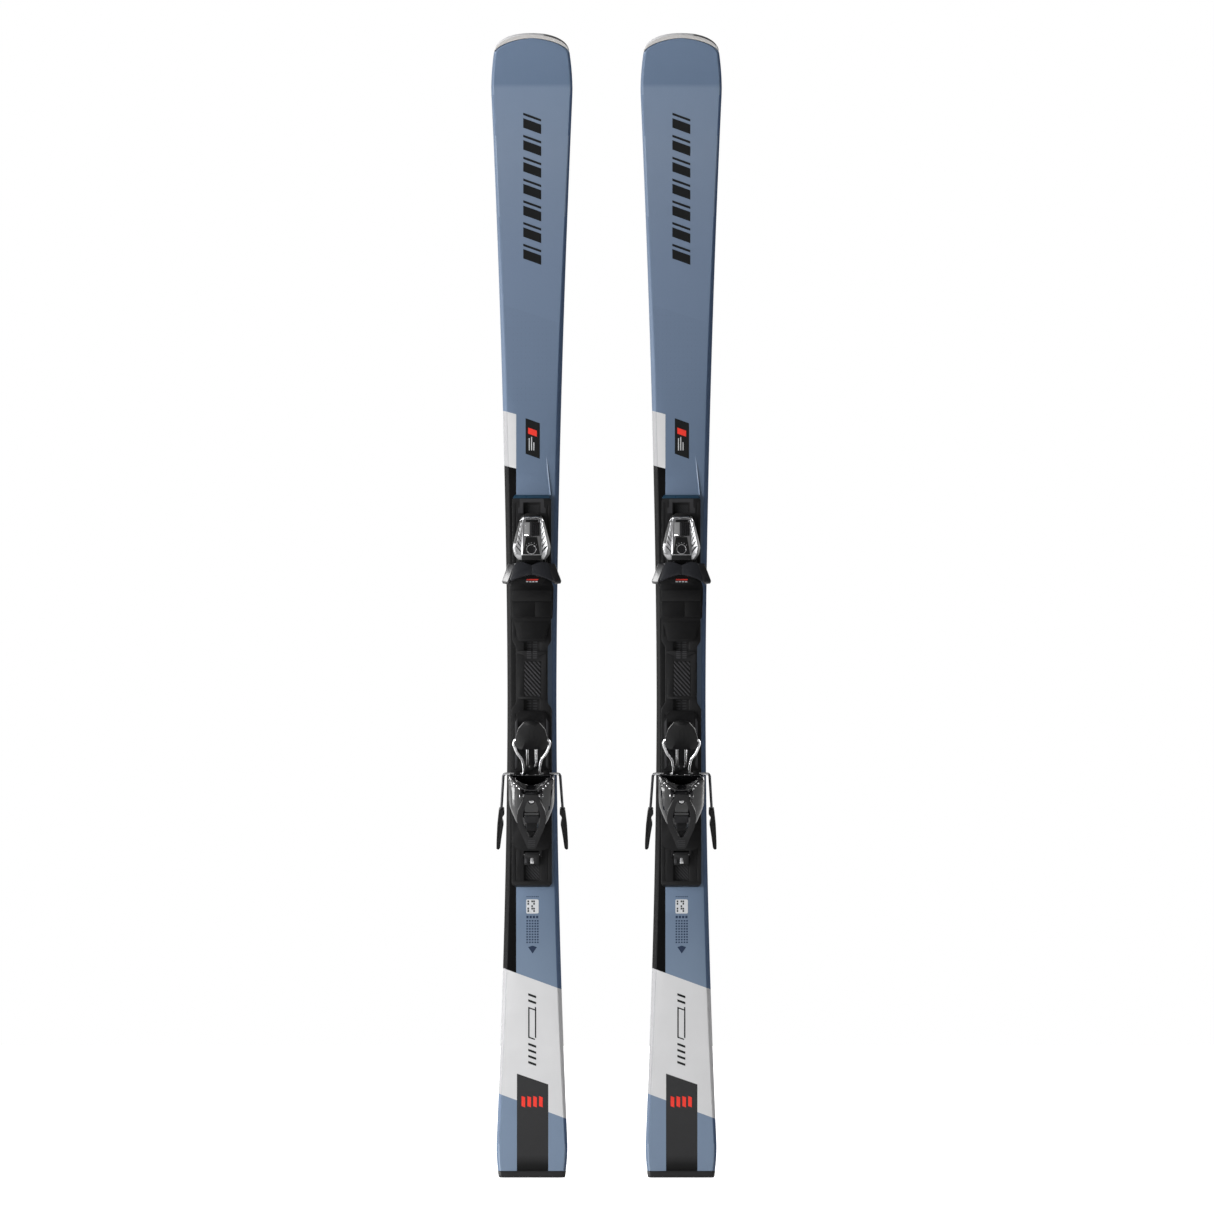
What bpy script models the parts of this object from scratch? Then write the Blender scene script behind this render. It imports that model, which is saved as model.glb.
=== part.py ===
"""A pair of alpine skis with adjustable system bindings, standing upright side by side.

Row frame, in metres: +Z runs up from the tails to the tips, +X to the right, and the skis' tops face -Y.
The origin is on the floor, midway between the two skis, in the plane of their running bases.
Each ski is described in its own frame: x across the ski, h above the running base, z from tail to tip.
"""

import math

import bmesh
import bpy
from mathutils import Matrix, Vector

# ---- the pair
SKI_SPACING = 0.222  # centre line to centre line

# ---- ski outline and profile
LENGTH = 1.700
TIP_WIDTH, TIP_WIDEST_Z, TIP_SIDECUT = 0.121, 1.616, 1.7
WAIST_WIDTH, WAIST_Z = 0.073, 0.711
TAIL_WIDTH, TAIL_WIDEST_Z, TAIL_SIDECUT = 0.106, 0.048, 1.8
TAIL_END_HALF = 0.049
SHOULDER_Z, SHOULDER_HALF = 1.6705, 0.0564  # where the rounded tip begins
TIP_ARC_POWER = 2.2
CONTACT_REAR_Z, CONTACT_FRONT_Z, CAMBER = 0.120, 1.440, 0.003
TIP_LIFT, TIP_LIFT_POWER = 0.048, 2.6
TAIL_LIFT = 0.008
TIP_THICK, TAIL_THICK = 0.0060, 0.0078
DECK_H = 0.0170  # the ski's top under the binding plate, above the base plane
BEVEL_WIDE = 0.0060
SPINE_HIGH, SPINE_HALF, SPINE_RUNOUT = 0.0022, 0.0230, 0.22
CROWN = 0.0002  # how far the topsheet's middle stands above its bevels
TIP_GUARD_DEEP, TAIL_GUARD_DEEP = 0.0074, 0.0096
EDGE_WIDE, EDGE_HIGH = 0.0022, 0.0020
BASE_THICK, SKIN_THICK, SIDEWALL_WIDE = 0.0013, 0.0014, 0.0030
GAP = 0.0003  # between pieces that rest on each other

# ---- binding plate, with the T-slot that both binding pieces run in
PLATE_REAR_Z, PLATE_FRONT_Z, NOSE_LONG = 0.4358, 1.0105, 0.0052
PLATE_BOTTOM_H, PLATE_TOP_H = DECK_H + GAP, 0.0270
PLATE_REAR_HALF, PLATE_WAIST_HALF, PLATE_FRONT_HALF, NOSE_HALF = 0.0298, 0.0235, 0.0288, 0.0223
SLOT_NECK_HALF, SLOT_FOOT_HALF, SLOT_LIP_H, SLOT_FLOOR_H = 0.0120, 0.0160, 0.0242, 0.0203
SLOT_END_WALL = 0.0065
SLIDE_CLEAR = 0.0004
RIDE_H = PLATE_TOP_H + GAP  # underside of what slides on the plate

# ---- toe piece
TOE_REAR_Z, TOE_FRONT_Z = 0.798, 0.985
TOE_DECK_H = 0.0338
AFD_REAR_Z, AFD_FRONT_Z, AFD_HALF, AFD_THICK = 0.8345, 0.8745, 0.0290, 0.0075
AFD_RAIL_Z, AFD_RAIL_HALF, AFD_RAIL_HIGH = 0.8630, 0.0030, 0.0028
HOUSING_REAR_Z = 0.9185
WING_PIVOT_X, WING_PIVOT_Z, WING_HUB_R = 0.0125, 0.9050, 0.0113
WING_LOW_H, WING_HIGH_H = 0.0425, 0.0640
TOE_SCREW_Z, TOE_SCREW_R, TOE_SCREW_LOW_H, TOE_SCREW_TOP_H = 0.9345, 0.0062, 0.0675, 0.0722
TOE_BORE_H, TOE_BORE_R, TOE_BORE_DEEP = 0.0530, 0.0098, 0.038

# ---- cover strip between the two binding pieces
COVER_REAR_Z, COVER_FRONT_Z, COVER_HALF, COVER_TOP_H = 0.712, 0.784, 0.0215, 0.0302

# ---- brake
BRAKE_FLOOR_H = 0.0312
PEDAL_PIVOT_Z, ARM_PIVOT_Z, BRAKE_PIVOT_H = 0.6120, 0.6014, 0.0340
PEDAL_OPEN_DEG, ARM_OPEN_DEG, ARM_DROOP_DEG = 35.0, 29.0, 3.6
WIRE_R = 0.0020
PEDAL_LOW, PEDAL_THICK = 0.0024, 0.0056
ARM_OUT_X, ARM_TIP_X, ARM_LONG, TIP_START = 0.0420, 0.0500, 0.1348, 0.0620
BRAKE_TIP_WIDE, BRAKE_TIP_THICK = 0.0088, 0.0070

# ---- heel piece
HEEL_REAR_Z, HEEL_BLOCK_FRONT_Z, HEEL_FRONT_Z = 0.4870, 0.5965, 0.6950
HEEL_HALF, HEEL_DECK_H = 0.0292, 0.0348
CUP_PIVOT_Z, CUP_PIVOT_H, CUP_OPEN_DEG = 0.5720, 0.0440, 35.0
CUP_HALF, TREADLE_TOP = 0.0345, -0.0026
CUP_AXLE_R, CUP_AXLE_REACH = 0.0030, 0.0330
LEVER_PIVOT = (0.0250, 0.0385)  # ahead of and above the cup's pivot, with the cup closed
LEVER_SLOPE_DEG, LEVER_THICK, LEVER_BAR_R = 27.0, 0.0060, 0.0025
HEEL_SCREW_Z, HEEL_SCREW_R = 0.0120, 0.0042  # ahead of the cup's pivot, with the cup closed
HEEL_BORE_H, HEEL_BORE_R = 0.0200, 0.0080
LATCH_REAR_Z, LATCH_FRONT_Z, LATCH_HALF = 0.4660, 0.4845, 0.0110
LATCH_PIVOT_Z, LATCH_PIVOT_H, LATCH_PIN_R = 0.4815, 0.0316, 0.0013

COLOURS = {  # linear base colour, roughness, metallic
    "topsheet": ((0.135, 0.195, 0.290), 0.35, 0.0),
    "polyethylene": ((0.012, 0.012, 0.014), 0.45, 0.0),
    "edge_steel": ((0.55, 0.56, 0.58), 0.30, 1.0),
    "wood_core": ((0.50, 0.34, 0.17), 0.70, 0.0),
    "sidewall": ((0.020, 0.022, 0.026), 0.40, 0.0),
    "tip_guard": ((0.80, 0.80, 0.78), 0.30, 0.0),
    "black_plastic": ((0.014, 0.014, 0.015), 0.50, 0.0),
    "gloss_plastic": ((0.020, 0.020, 0.024), 0.15, 0.0),
    "toe_metal": ((0.55, 0.56, 0.58), 0.25, 1.0),
    "chrome": ((0.75, 0.75, 0.76), 0.15, 1.0),
    "spring_steel": ((0.35, 0.36, 0.38), 0.35, 1.0),
}


# ---------------------------------------------------------------- scene and materials


def clear_scene():
    for obj in list(bpy.data.objects):
        bpy.data.objects.remove(obj)


def new_collection(name):
    made = bpy.data.collections.new(name)
    bpy.context.scene.collection.children.link(made)
    return made


def material(name):
    found = bpy.data.materials.get(name)
    if found:
        return found
    made = bpy.data.materials.new(name)
    made.use_nodes = True
    colour, rough, metal = COLOURS[name]
    shader = made.node_tree.nodes["Principled BSDF"]
    shader.inputs["Base Color"].default_value = (*colour, 1.0)
    shader.inputs["Roughness"].default_value = rough
    shader.inputs["Metallic"].default_value = metal
    return made


# ---------------------------------------------------------------- shape helpers


def at(x, h, z):
    """A point of a ski's own frame, with the ski's top towards -Y."""
    return Vector((x, -h, z))


def new_object(name, mesh, home):
    obj = bpy.data.objects.new(name, mesh)
    home.objects.link(obj)
    return obj


def mesh_from(bm, name):
    bmesh.ops.recalc_face_normals(bm, faces=bm.faces)
    if bm.calc_volume(signed=True) < 0:
        bmesh.ops.reverse_faces(bm, faces=bm.faces)
    mesh = bpy.data.meshes.new(name)
    bm.to_mesh(mesh)
    bm.free()
    return mesh


def box(name, x, h, z, home):
    """A box between the pairs of limits x, h and z."""
    bm = bmesh.new()
    bmesh.ops.create_cube(bm, size=1.0)
    size = Vector((x[1] - x[0], h[1] - h[0], z[1] - z[0]))
    centre = at(sum(x) / 2, sum(h) / 2, sum(z) / 2)
    bm.transform(Matrix.Translation(centre) @ Matrix.Diagonal((*size, 1.0)))
    return new_object(name, mesh_from(bm, name), home)


def rod(name, radius, start, end, home, sides=20):
    """A round bar from start to end, both (x, h, z)."""
    a, b = at(*start), at(*end)
    bm = bmesh.new()
    bmesh.ops.create_cone(
        bm, cap_ends=True, segments=sides, radius1=radius, radius2=radius, depth=(b - a).length
    )
    turn = (b - a).to_track_quat("Z", "Y").to_matrix().to_4x4()
    bm.transform(Matrix.Translation((a + b) / 2) @ turn)
    return new_object(name, mesh_from(bm, name), home)


def cross_rod(name, radius, reach, h, z, home, sides=12):
    """A round bar across the ski, reaching equally far to both sides."""
    return rod(name, radius, (-reach, h, z), (reach, h, z), home, sides)


def loft(name, sections, home):
    """A closed skin through sections that each list the same number of (x, h, z) points."""
    bm = bmesh.new()
    rings = [[bm.verts.new(at(*p)) for p in ring] for ring in sections]
    count = len(rings[0])
    for near, far in zip(rings, rings[1:]):
        for i in range(count):
            j = (i + 1) % count
            bm.faces.new((near[i], near[j], far[j], far[i]))
    bm.faces.new(rings[0])
    bm.faces.new(rings[-1])
    return new_object(name, mesh_from(bm, name), home)


def curve_to_mesh(curve_obj, home):
    """The curve object as a mesh object with its caps welded on."""
    name = curve_obj.name
    graph = bpy.context.evaluated_depsgraph_get()
    mesh = bpy.data.meshes.new_from_object(curve_obj.evaluated_get(graph))
    mesh.transform(curve_obj.matrix_world)
    data = curve_obj.data
    bpy.data.objects.remove(curve_obj)
    bpy.data.curves.remove(data)
    bm = bmesh.new()
    bm.from_mesh(mesh)
    bpy.data.meshes.remove(mesh)
    bmesh.ops.remove_doubles(bm, verts=bm.verts, dist=1e-6)
    return new_object(name, mesh_from(bm, name), home)


def outline(name, points, low, high, plane, home, holes=()):
    """A flat outline given thickness. plane "xz" is seen from above the ski, with low and high as
    heights; "zh" is seen from the ski's side, with low and high across it; "xh" is a cross-section,
    with low and high along it."""
    curve = bpy.data.curves.new(name, "CURVE")
    curve.dimensions = "2D"
    curve.fill_mode = "BOTH"
    curve.extrude = (high - low) / 2
    for ring in (points, *holes):
        spline = curve.splines.new("POLY")
        spline.points.add(len(ring) - 1)
        for point, (u, v) in zip(spline.points, ring):
            point.co = (u, v, 0.0, 1.0)
        spline.use_cyclic_u = True
    middle = (low + high) / 2
    u_axis, v_axis, thick_axis, centre = {
        "xz": (at(1, 0, 0), at(0, 0, 1), at(0, 1, 0), at(0, middle, 0)),
        "zh": (at(0, 0, 1), at(0, 1, 0), at(1, 0, 0), at(middle, 0, 0)),
        "xh": (at(1, 0, 0), at(0, 1, 0), at(0, 0, 1), at(0, 0, middle)),
    }[plane]
    if u_axis.cross(v_axis).dot(thick_axis) < 0:
        thick_axis = -thick_axis
    turn = Matrix((u_axis, v_axis, thick_axis)).transposed().to_4x4()
    obj = new_object(name, curve, home)
    obj.matrix_world = Matrix.Translation(centre) @ turn
    bpy.context.view_layer.update()
    return curve_to_mesh(obj, home)


def wire(name, points, radius, home, sides=2):
    """A round wire through (x, h, z) points."""
    curve = bpy.data.curves.new(name, "CURVE")
    curve.dimensions = "3D"
    curve.bevel_depth = radius
    curve.bevel_resolution = sides
    curve.use_fill_caps = True
    spline = curve.splines.new("POLY")
    spline.points.add(len(points) - 1)
    for point, place in zip(spline.points, points):
        point.co = (*at(*place), 1.0)
    return curve_to_mesh(new_object(name, curve, home), home)


def arc(centre, radius, start_deg, end_deg, steps):
    """Points on a circle in the plane of an outline."""
    turns = [math.radians(start_deg + (end_deg - start_deg) * i / steps) for i in range(steps + 1)]
    return [(centre[0] + radius * math.cos(a), centre[1] + radius * math.sin(a)) for a in turns]


def rounded(points, radius, steps=3):
    """The same path of (x, h, z) points with each inner corner turned on a radius."""
    path = [Vector(p) for p in points]
    out = [path[0]]
    for before, corner, after in zip(path, path[1:], path[2:]):
        back, ahead = (before - corner), (after - corner)
        reach = min(radius, back.length * 0.45, ahead.length * 0.45)
        start, end = corner + back.normalized() * reach, corner + ahead.normalized() * reach
        for i in range(steps + 1):
            t = i / steps
            out.append(start * (1 - t) ** 2 + corner * 2 * t * (1 - t) + end * t**2)
    return [tuple(p) for p in [*out, path[-1]]]


def mirrored(half):
    """A whole outline from its +x half, listed from one end of the centre line to the other."""
    return [*half, *((-u, v) for u, v in reversed(half))]


def boolean(obj, other, operation):
    mod = obj.modifiers.new(operation.lower(), "BOOLEAN")
    mod.operation = operation
    mod.object = other
    mod.solver = "EXACT"
    other.hide_render = True
    other.display_type = "WIRE"


def bevel(obj, width, segments=1, angle_deg=40):
    mod = obj.modifiers.new("edges", "BEVEL")
    mod.width = width
    mod.segments = segments
    mod.limit_method = "ANGLE"
    mod.angle_limit = math.radians(angle_deg)


def smooth(obj):
    obj.data.shade_smooth()
    obj.data.set_sharp_from_angle(angle=math.radians(35))


def blend(t):
    t = min(1.0, max(0.0, t))
    return t * t * (3 - 2 * t)


# ---------------------------------------------------------------- the ski's lines


def half_width(z):
    """Half the ski's width at z, short of the rounded tip."""
    waist = WAIST_WIDTH / 2
    if z >= TIP_WIDEST_Z:
        share = (z - TIP_WIDEST_Z) / (SHOULDER_Z - TIP_WIDEST_Z)
        return TIP_WIDTH / 2 - (TIP_WIDTH / 2 - SHOULDER_HALF) * share**2
    if z >= WAIST_Z:
        share = (z - WAIST_Z) / (TIP_WIDEST_Z - WAIST_Z)
        return waist + (TIP_WIDTH / 2 - waist) * share**TIP_SIDECUT
    if z >= TAIL_WIDEST_Z:
        share = (WAIST_Z - z) / (WAIST_Z - TAIL_WIDEST_Z)
        return waist + (TAIL_WIDTH / 2 - waist) * share**TAIL_SIDECUT
    share = (TAIL_WIDEST_Z - z) / TAIL_WIDEST_Z
    return TAIL_WIDTH / 2 - (TAIL_WIDTH / 2 - TAIL_END_HALF) * share**2


def tip_arc(high, angles_deg):
    """(z, half width) on the rounded tip of that height, from the shoulder up."""
    out = []
    for angle in map(math.radians, angles_deg):
        rise = math.sin(angle) ** (2 / TIP_ARC_POWER)
        across = math.cos(angle) ** (2 / TIP_ARC_POWER)
        out.append((SHOULDER_Z + high * rise, SHOULDER_HALF * across))
    return out


def base_height(z):
    """Height of the running base: camber between the contact lines, and the lifted tip and tail."""
    if z > CONTACT_FRONT_Z:
        share = (z - CONTACT_FRONT_Z) / (LENGTH - CONTACT_FRONT_Z)
        return TIP_LIFT * share**TIP_LIFT_POWER
    if z < CONTACT_REAR_Z:
        return TAIL_LIFT * ((CONTACT_REAR_Z - z) / CONTACT_REAR_Z) ** 2
    middle = (CONTACT_REAR_Z + CONTACT_FRONT_Z) / 2
    share = (z - middle) / (CONTACT_FRONT_Z - middle)
    return CAMBER * (1 - share**2) ** 2


def thickness(z):
    """The ski is thickest under the plate, where its top is level, and thins towards both ends."""
    full = DECK_H - base_height(min(max(z, PLATE_REAR_Z), PLATE_FRONT_Z))
    if z > PLATE_FRONT_Z:
        run = blend((z - PLATE_FRONT_Z) / (CONTACT_FRONT_Z + 0.06 - PLATE_FRONT_Z))
        return full + (TIP_THICK - full) * run
    if z < PLATE_REAR_Z:
        return full + (TAIL_THICK - full) * blend((PLATE_REAR_Z - z) / PLATE_REAR_Z)
    return DECK_H - base_height(z)


def side_height(z):
    """Height at which the bevelled topsheet meets the sidewall, above the base."""
    return thickness(z) * 0.60


def spine(z):
    """Share of the raised spine at z: full at the plate, and gone a little way past its ends."""
    past = max(z - PLATE_FRONT_Z, PLATE_REAR_Z - z, 0.0)
    return 1 - blend(past / SPINE_RUNOUT)


def ledge_height(z):
    """Height of the line where the topsheet's bevel ends, beside the spine, above the base."""
    return thickness(z) - SPINE_HIGH * spine(z) - CROWN


TAIL_BODY_Z = TAIL_GUARD_DEEP + GAP
SIDE_ZS = [
    TAIL_BODY_Z,
    TAIL_WIDEST_Z,
    (TAIL_WIDEST_Z + CONTACT_REAR_Z) / 2,
    *(CONTACT_REAR_Z + (CONTACT_FRONT_Z - CONTACT_REAR_Z) * i / 13 for i in range(14)),
    *(CONTACT_FRONT_Z + (TIP_WIDEST_Z - CONTACT_FRONT_Z) * i / 5 for i in range(1, 6)),
    (TIP_WIDEST_Z + SHOULDER_Z) / 2,
    SHOULDER_Z,
]
TIP_ANGLES = (28, 48, 63, 75, 84)
TIP_HIGH = LENGTH - SHOULDER_Z


def body_stations():
    """(z, half width) of every section of the ski's body, tail to tip, inside the tip guard."""
    inner = TIP_HIGH - TIP_GUARD_DEEP - GAP
    return [(z, half_width(z)) for z in SIDE_ZS] + tip_arc(inner, TIP_ANGLES)


def side_strip(name, side, inner, outer, low, high, home):
    """A strip along one side of the ski. inner and outer are set in from the ski's own side, and
    low and high are functions of z above the base."""
    sections = []
    for z in SIDE_ZS:
        b, w = base_height(z), half_width(z)
        a, c = side * (w - inner), side * (w - outer)
        sections.append([(a, b + low(z), z), (c, b + low(z), z), (c, b + high(z), z), (a, b + high(z), z)])
    return loft(name, sections, home)


def make_base(name, home):
    sections = []
    for z, w in body_stations():
        b, half = base_height(z), w - EDGE_WIDE - GAP
        sections.append([(-half, b, z), (half, b, z), (half, b + BASE_THICK, z), (-half, b + BASE_THICK, z)])
    return loft(name, sections, home)


def make_core(name, home):
    """The laminated wood core, inside the sidewalls and under the topsheet."""
    sections = []
    for z, w in body_stations():
        b = base_height(z)
        low, shoulder = b + BASE_THICK + GAP, b + side_height(z) - GAP
        top = b + ledge_height(z) - SKIN_THICK - GAP
        half = w - EDGE_WIDE - SIDEWALL_WIDE - GAP
        ledge = max(half - BEVEL_WIDE * 0.55, half * 0.5)
        right = [(half, low, z), (half, shoulder, z), (ledge, top, z)]
        sections.append([*right, *((-x, h, z) for x, h, z in reversed(right))])
    return loft(name, sections, home)


def make_topsheet(name, home):
    """The cap: bevelled sides, and a spine that swells towards the binding."""
    sections = []
    for z, w in body_stations():
        b, side = base_height(z), side_height(z)
        top, ledge_h = b + thickness(z), b + ledge_height(z)
        ledge = max(w - BEVEL_WIDE, w * 0.45)
        flat = ledge * 0.8 + (min(SPINE_HALF, ledge * 0.8) - ledge * 0.8) * spine(z)
        skin = SKIN_THICK
        outer = [(w, b + side, z), (ledge, ledge_h, z), (flat, top, z)]
        outer += [(-flat, top, z), (-ledge, ledge_h, z), (-w, b + side, z)]
        within = w - max(EDGE_WIDE, skin)
        inner = [(-within, b + side, z), (-ledge * 0.97, ledge_h - skin, z)]
        inner += [(ledge * 0.97, ledge_h - skin, z), (within, b + side, z)]
        sections.append(outer + inner)
    return loft(name, sections, home)


def make_tip_guard(name, home):
    """A crescent of moulded plastic let into the rounded tip."""
    sections = []
    angles = [-78, -66, -54, -42, -30, -18, -6, 6, 18, 30, 42, 54, 66, 78]
    for angle in angles:
        z_out, half = tip_arc(TIP_HIGH, [90 - abs(angle)])[0]
        z_in = tip_arc(TIP_HIGH - TIP_GUARD_DEEP, [90 - abs(angle)])[0][0]
        x = math.copysign(half, angle)
        ring = []
        for z, rise in ((z_in, 0.0), (z_out, 0.0), (z_out, 0.75), (z_in, 1.0)):
            ring.append((x, base_height(z) + thickness(z) * rise, z))
        sections.append(ring)
    return loft(name, sections, home)


def make_tail_guard(name, home):
    sections = []
    for z in (0.0, 0.0022, TAIL_GUARD_DEEP):
        pinch = 0.0022 - min(z, 0.0022)
        w, b = half_width(z) + 0.0004 - pinch, base_height(z)
        top = b + thickness(z) + 0.0005 - pinch * 0.6
        side = b + side_height(z)
        ring = [(-w, b, z), (w, b, z), (w, side, z), (w - BEVEL_WIDE, top, z)]
        sections.append(ring + [(-w + BEVEL_WIDE, top, z), (-w, side, z)])
    return loft(name, sections, home)


# ---------------------------------------------------------------- binding plate and sliders


def make_plate(name, home, cutters):
    """A plate with waisted sides, rounded rear corners and a sloping nose, slotted for the sliders."""
    corner = 0.0035
    widths = [
        (PLATE_REAR_Z, PLATE_REAR_HALF - corner),
        (PLATE_REAR_Z + corner * 0.3, PLATE_REAR_HALF - corner * 0.3),
        (PLATE_REAR_Z + corner, PLATE_REAR_HALF),
        (0.698, PLATE_REAR_HALF),
        (0.706, PLATE_WAIST_HALF),
        (0.790, PLATE_WAIST_HALF),
        (0.798, PLATE_FRONT_HALF),
        (PLATE_FRONT_Z, PLATE_FRONT_HALF),
    ]
    sections = []
    for z, w in widths:
        low, top = PLATE_BOTTOM_H, PLATE_TOP_H
        sections.append([(-w, low, z), (w, low, z), (w, top, z), (-w, top, z)])
    nose_z, low = PLATE_FRONT_Z + NOSE_LONG, PLATE_BOTTOM_H
    w, top = NOSE_HALF, PLATE_BOTTOM_H + 0.0016
    sections.append([(-w, low, nose_z), (w, low, nose_z), (w, top, nose_z), (-w, top, nose_z)])
    plate = loft(name, sections, home)
    above = PLATE_TOP_H + 0.002
    tee = mirrored(
        [(SLOT_FOOT_HALF, SLOT_FLOOR_H), (SLOT_FOOT_HALF, SLOT_LIP_H), (SLOT_NECK_HALF, SLOT_LIP_H)]
        + [(SLOT_NECK_HALF, above)]
    )
    rear, front = PLATE_REAR_Z + SLOT_END_WALL, PLATE_FRONT_Z - SLOT_END_WALL
    boolean(plate, outline(name + "_slot", tee, rear, front, "xh", cutters), "DIFFERENCE")
    return plate


def slide_foot(name, rear, front, cutters):
    """The tongue under a binding piece that runs in the plate's slot."""
    neck, foot = SLOT_NECK_HALF - SLIDE_CLEAR, SLOT_FOOT_HALF - SLIDE_CLEAR
    tee = mirrored(
        [(foot, SLOT_FLOOR_H + SLIDE_CLEAR), (foot, SLOT_LIP_H - SLIDE_CLEAR)]
        + [(neck, SLOT_LIP_H - SLIDE_CLEAR), (neck, RIDE_H + 0.0015)]
    )
    return outline(name, tee, rear, front, "xh", cutters)


def make_cover(name, home):
    """The snap-in strip over the open slot between toe and heel."""
    cover = box(
        name, (-COVER_HALF, COVER_HALF), (RIDE_H, COVER_TOP_H), (COVER_REAR_Z, COVER_FRONT_Z), home
    )
    bevel(cover, 0.0010)
    return cover


# ---------------------------------------------------------------- toe piece


def make_toe_base(name, home, cutters):
    half = [(0.0196, TOE_REAR_Z), (0.0273, 0.829), (0.0310, 0.833), (0.0325, 0.878), (0.0290, 0.889)]
    half += [(0.0235, 0.905), (0.0205, 0.960), (0.0160, TOE_FRONT_Z)]
    base = outline(name, mirrored(half), RIDE_H, TOE_DECK_H, "xz", home)
    post = [(0.0150, 0.884), (0.0205, 0.890), (0.0205, 0.940), (0.0150, 0.978)]
    tower = outline(name + "_post", mirrored(post), TOE_DECK_H - 0.002, 0.0417, "xz", cutters)
    boolean(base, tower, "UNION")
    rail_z = (AFD_RAIL_Z - AFD_RAIL_HALF, AFD_RAIL_Z + AFD_RAIL_HALF)
    rail_h = (TOE_DECK_H - 0.002, TOE_DECK_H + AFD_RAIL_HIGH)
    rail = box(name + "_rail", (-0.0240, 0.0240), rail_h, rail_z, cutters)
    boolean(base, rail, "UNION")
    boolean(base, slide_foot(name + "_foot", 0.8060, 0.9780, cutters), "UNION")
    for side in (-1, 1):
        x, z = side * WING_PIVOT_X, WING_PIVOT_Z
        pin = rod(f"{name}_pin{side}", 0.0030, (x, 0.0390, z), (x, WING_HIGH_H + 0.001, z), cutters, 12)
        boolean(base, pin, "UNION")
    return base


def make_toe_housing(name, home, cutters):
    """A wedge-shaped housing, low in front, with faceted shoulders and the spring's bore inside."""
    stations = [  # z, half width at the foot, half width of the flat top, top height, foot height
        (TOE_FRONT_Z, 0.0125, 0.0070, 0.0470, 0.0420),
        (0.9800, 0.0155, 0.0095, 0.0560, 0.0420),
        (0.9560, 0.0215, 0.0120, 0.0672, 0.0420),
        (0.9370, 0.0282, 0.0135, 0.0722, 0.0420),
        (0.9265, 0.0262, 0.0140, 0.0722, 0.0420),
        (HOUSING_REAR_Z, 0.0200, 0.0135, 0.0690, 0.0420),
    ]
    sections = []
    for z, foot, flat, top, low in stations:
        shoulder = low + (top - low) * 0.58
        half = [(foot, low), (foot, low + (top - low) * 0.25), (foot * 0.86, shoulder), (flat, top)]
        sections.append([(x, h, z) for x, h in mirrored(half)])
    housing = loft(name, sections, home)
    rear, end = HOUSING_REAR_Z - 0.004, HOUSING_REAR_Z + TOE_BORE_DEEP
    bore = rod(name + "_bore", TOE_BORE_R, (0, TOE_BORE_H, rear), (0, TOE_BORE_H, end), cutters)
    boolean(housing, bore, "DIFFERENCE")
    pocket = rod(
        name + "_pocket",
        TOE_SCREW_R + 0.0005,
        (0, TOE_SCREW_LOW_H - GAP, TOE_SCREW_Z),
        (0, 0.080, TOE_SCREW_Z),
        cutters,
    )
    boolean(housing, pocket, "DIFFERENCE")
    return housing


def make_wing(name, side, home, cutters):
    """One toe wing: a round hub on its pin, an arm, and the paddle that holds the boot's toe."""
    x, z = WING_PIVOT_X, WING_PIVOT_Z
    points = arc((x, z), WING_HUB_R, 265, 45, 11)  # round the hub by way of the centre line
    points += [(0.0300, 0.9138), (0.0350, 0.9132), (0.0450, 0.8890), (0.0385, 0.8822), (0.0330, 0.8850)]
    points += [(0.0240, 0.8910)]
    wing = outline(name, [(side * u, v) for u, v in points], WING_LOW_H, WING_HIGH_H, "xz", home)
    below, above = (side * x, WING_LOW_H - 0.01, z), (side * x, WING_HIGH_H + 0.01, z)
    pin_hole = rod(name + "_hole", 0.0033, below, above, cutters, 12)
    boolean(wing, pin_hole, "DIFFERENCE")
    # the inner top is cut down, so that the paddle stands proud of the arm
    step = box(name + "_step", (-0.030, 0.030), (0.0560, 0.080), (0.870, 0.930), cutters)
    boolean(wing, step, "DIFFERENCE")
    return wing


def make_screw(name, radius, low, high, z, home, cutters, x=0.0):
    """A screw head with a hexagon socket, on its own short shank."""
    screw = rod(name, radius, (x, low, z), (x, high, z), home, 20)
    socket = rod(name + "_socket", radius * 0.5, (x, high - 0.0022, z), (x, high + 0.004, z), cutters, 6)
    boolean(screw, socket, "DIFFERENCE")
    return screw


def make_spring(name, radius, wire_r, centre_h, z_low, z_high, turns, home):
    """A compression spring along the ski, as a wound wire."""
    per_turn = 10
    count = turns * per_turn
    points = []
    for i in range(count + 1):
        a = 2 * math.pi * i / per_turn
        z = z_low + (z_high - z_low) * i / count
        points.append((radius * math.cos(a), centre_h + radius * math.sin(a), z))
    return wire(name, points, wire_r, home, 0)


def make_afd(name, home, cutters):
    """The anti-friction plate under the boot's toe, which slides sideways on the base's rail."""
    low = TOE_DECK_H + GAP
    plate = box(name, (-AFD_HALF, AFD_HALF), (low, low + AFD_THICK), (AFD_REAR_Z, AFD_FRONT_Z), home)
    clear = AFD_RAIL_HALF + SLIDE_CLEAR
    channel_z = (AFD_RAIL_Z - clear, AFD_RAIL_Z + clear)
    channel_h = (0.0, TOE_DECK_H + AFD_RAIL_HIGH + GAP)
    channel = box(name + "_channel", (-0.05, 0.05), channel_h, channel_z, cutters)
    boolean(plate, channel, "DIFFERENCE")
    return plate


# ---------------------------------------------------------------- brake, drawn folded flat


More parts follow.
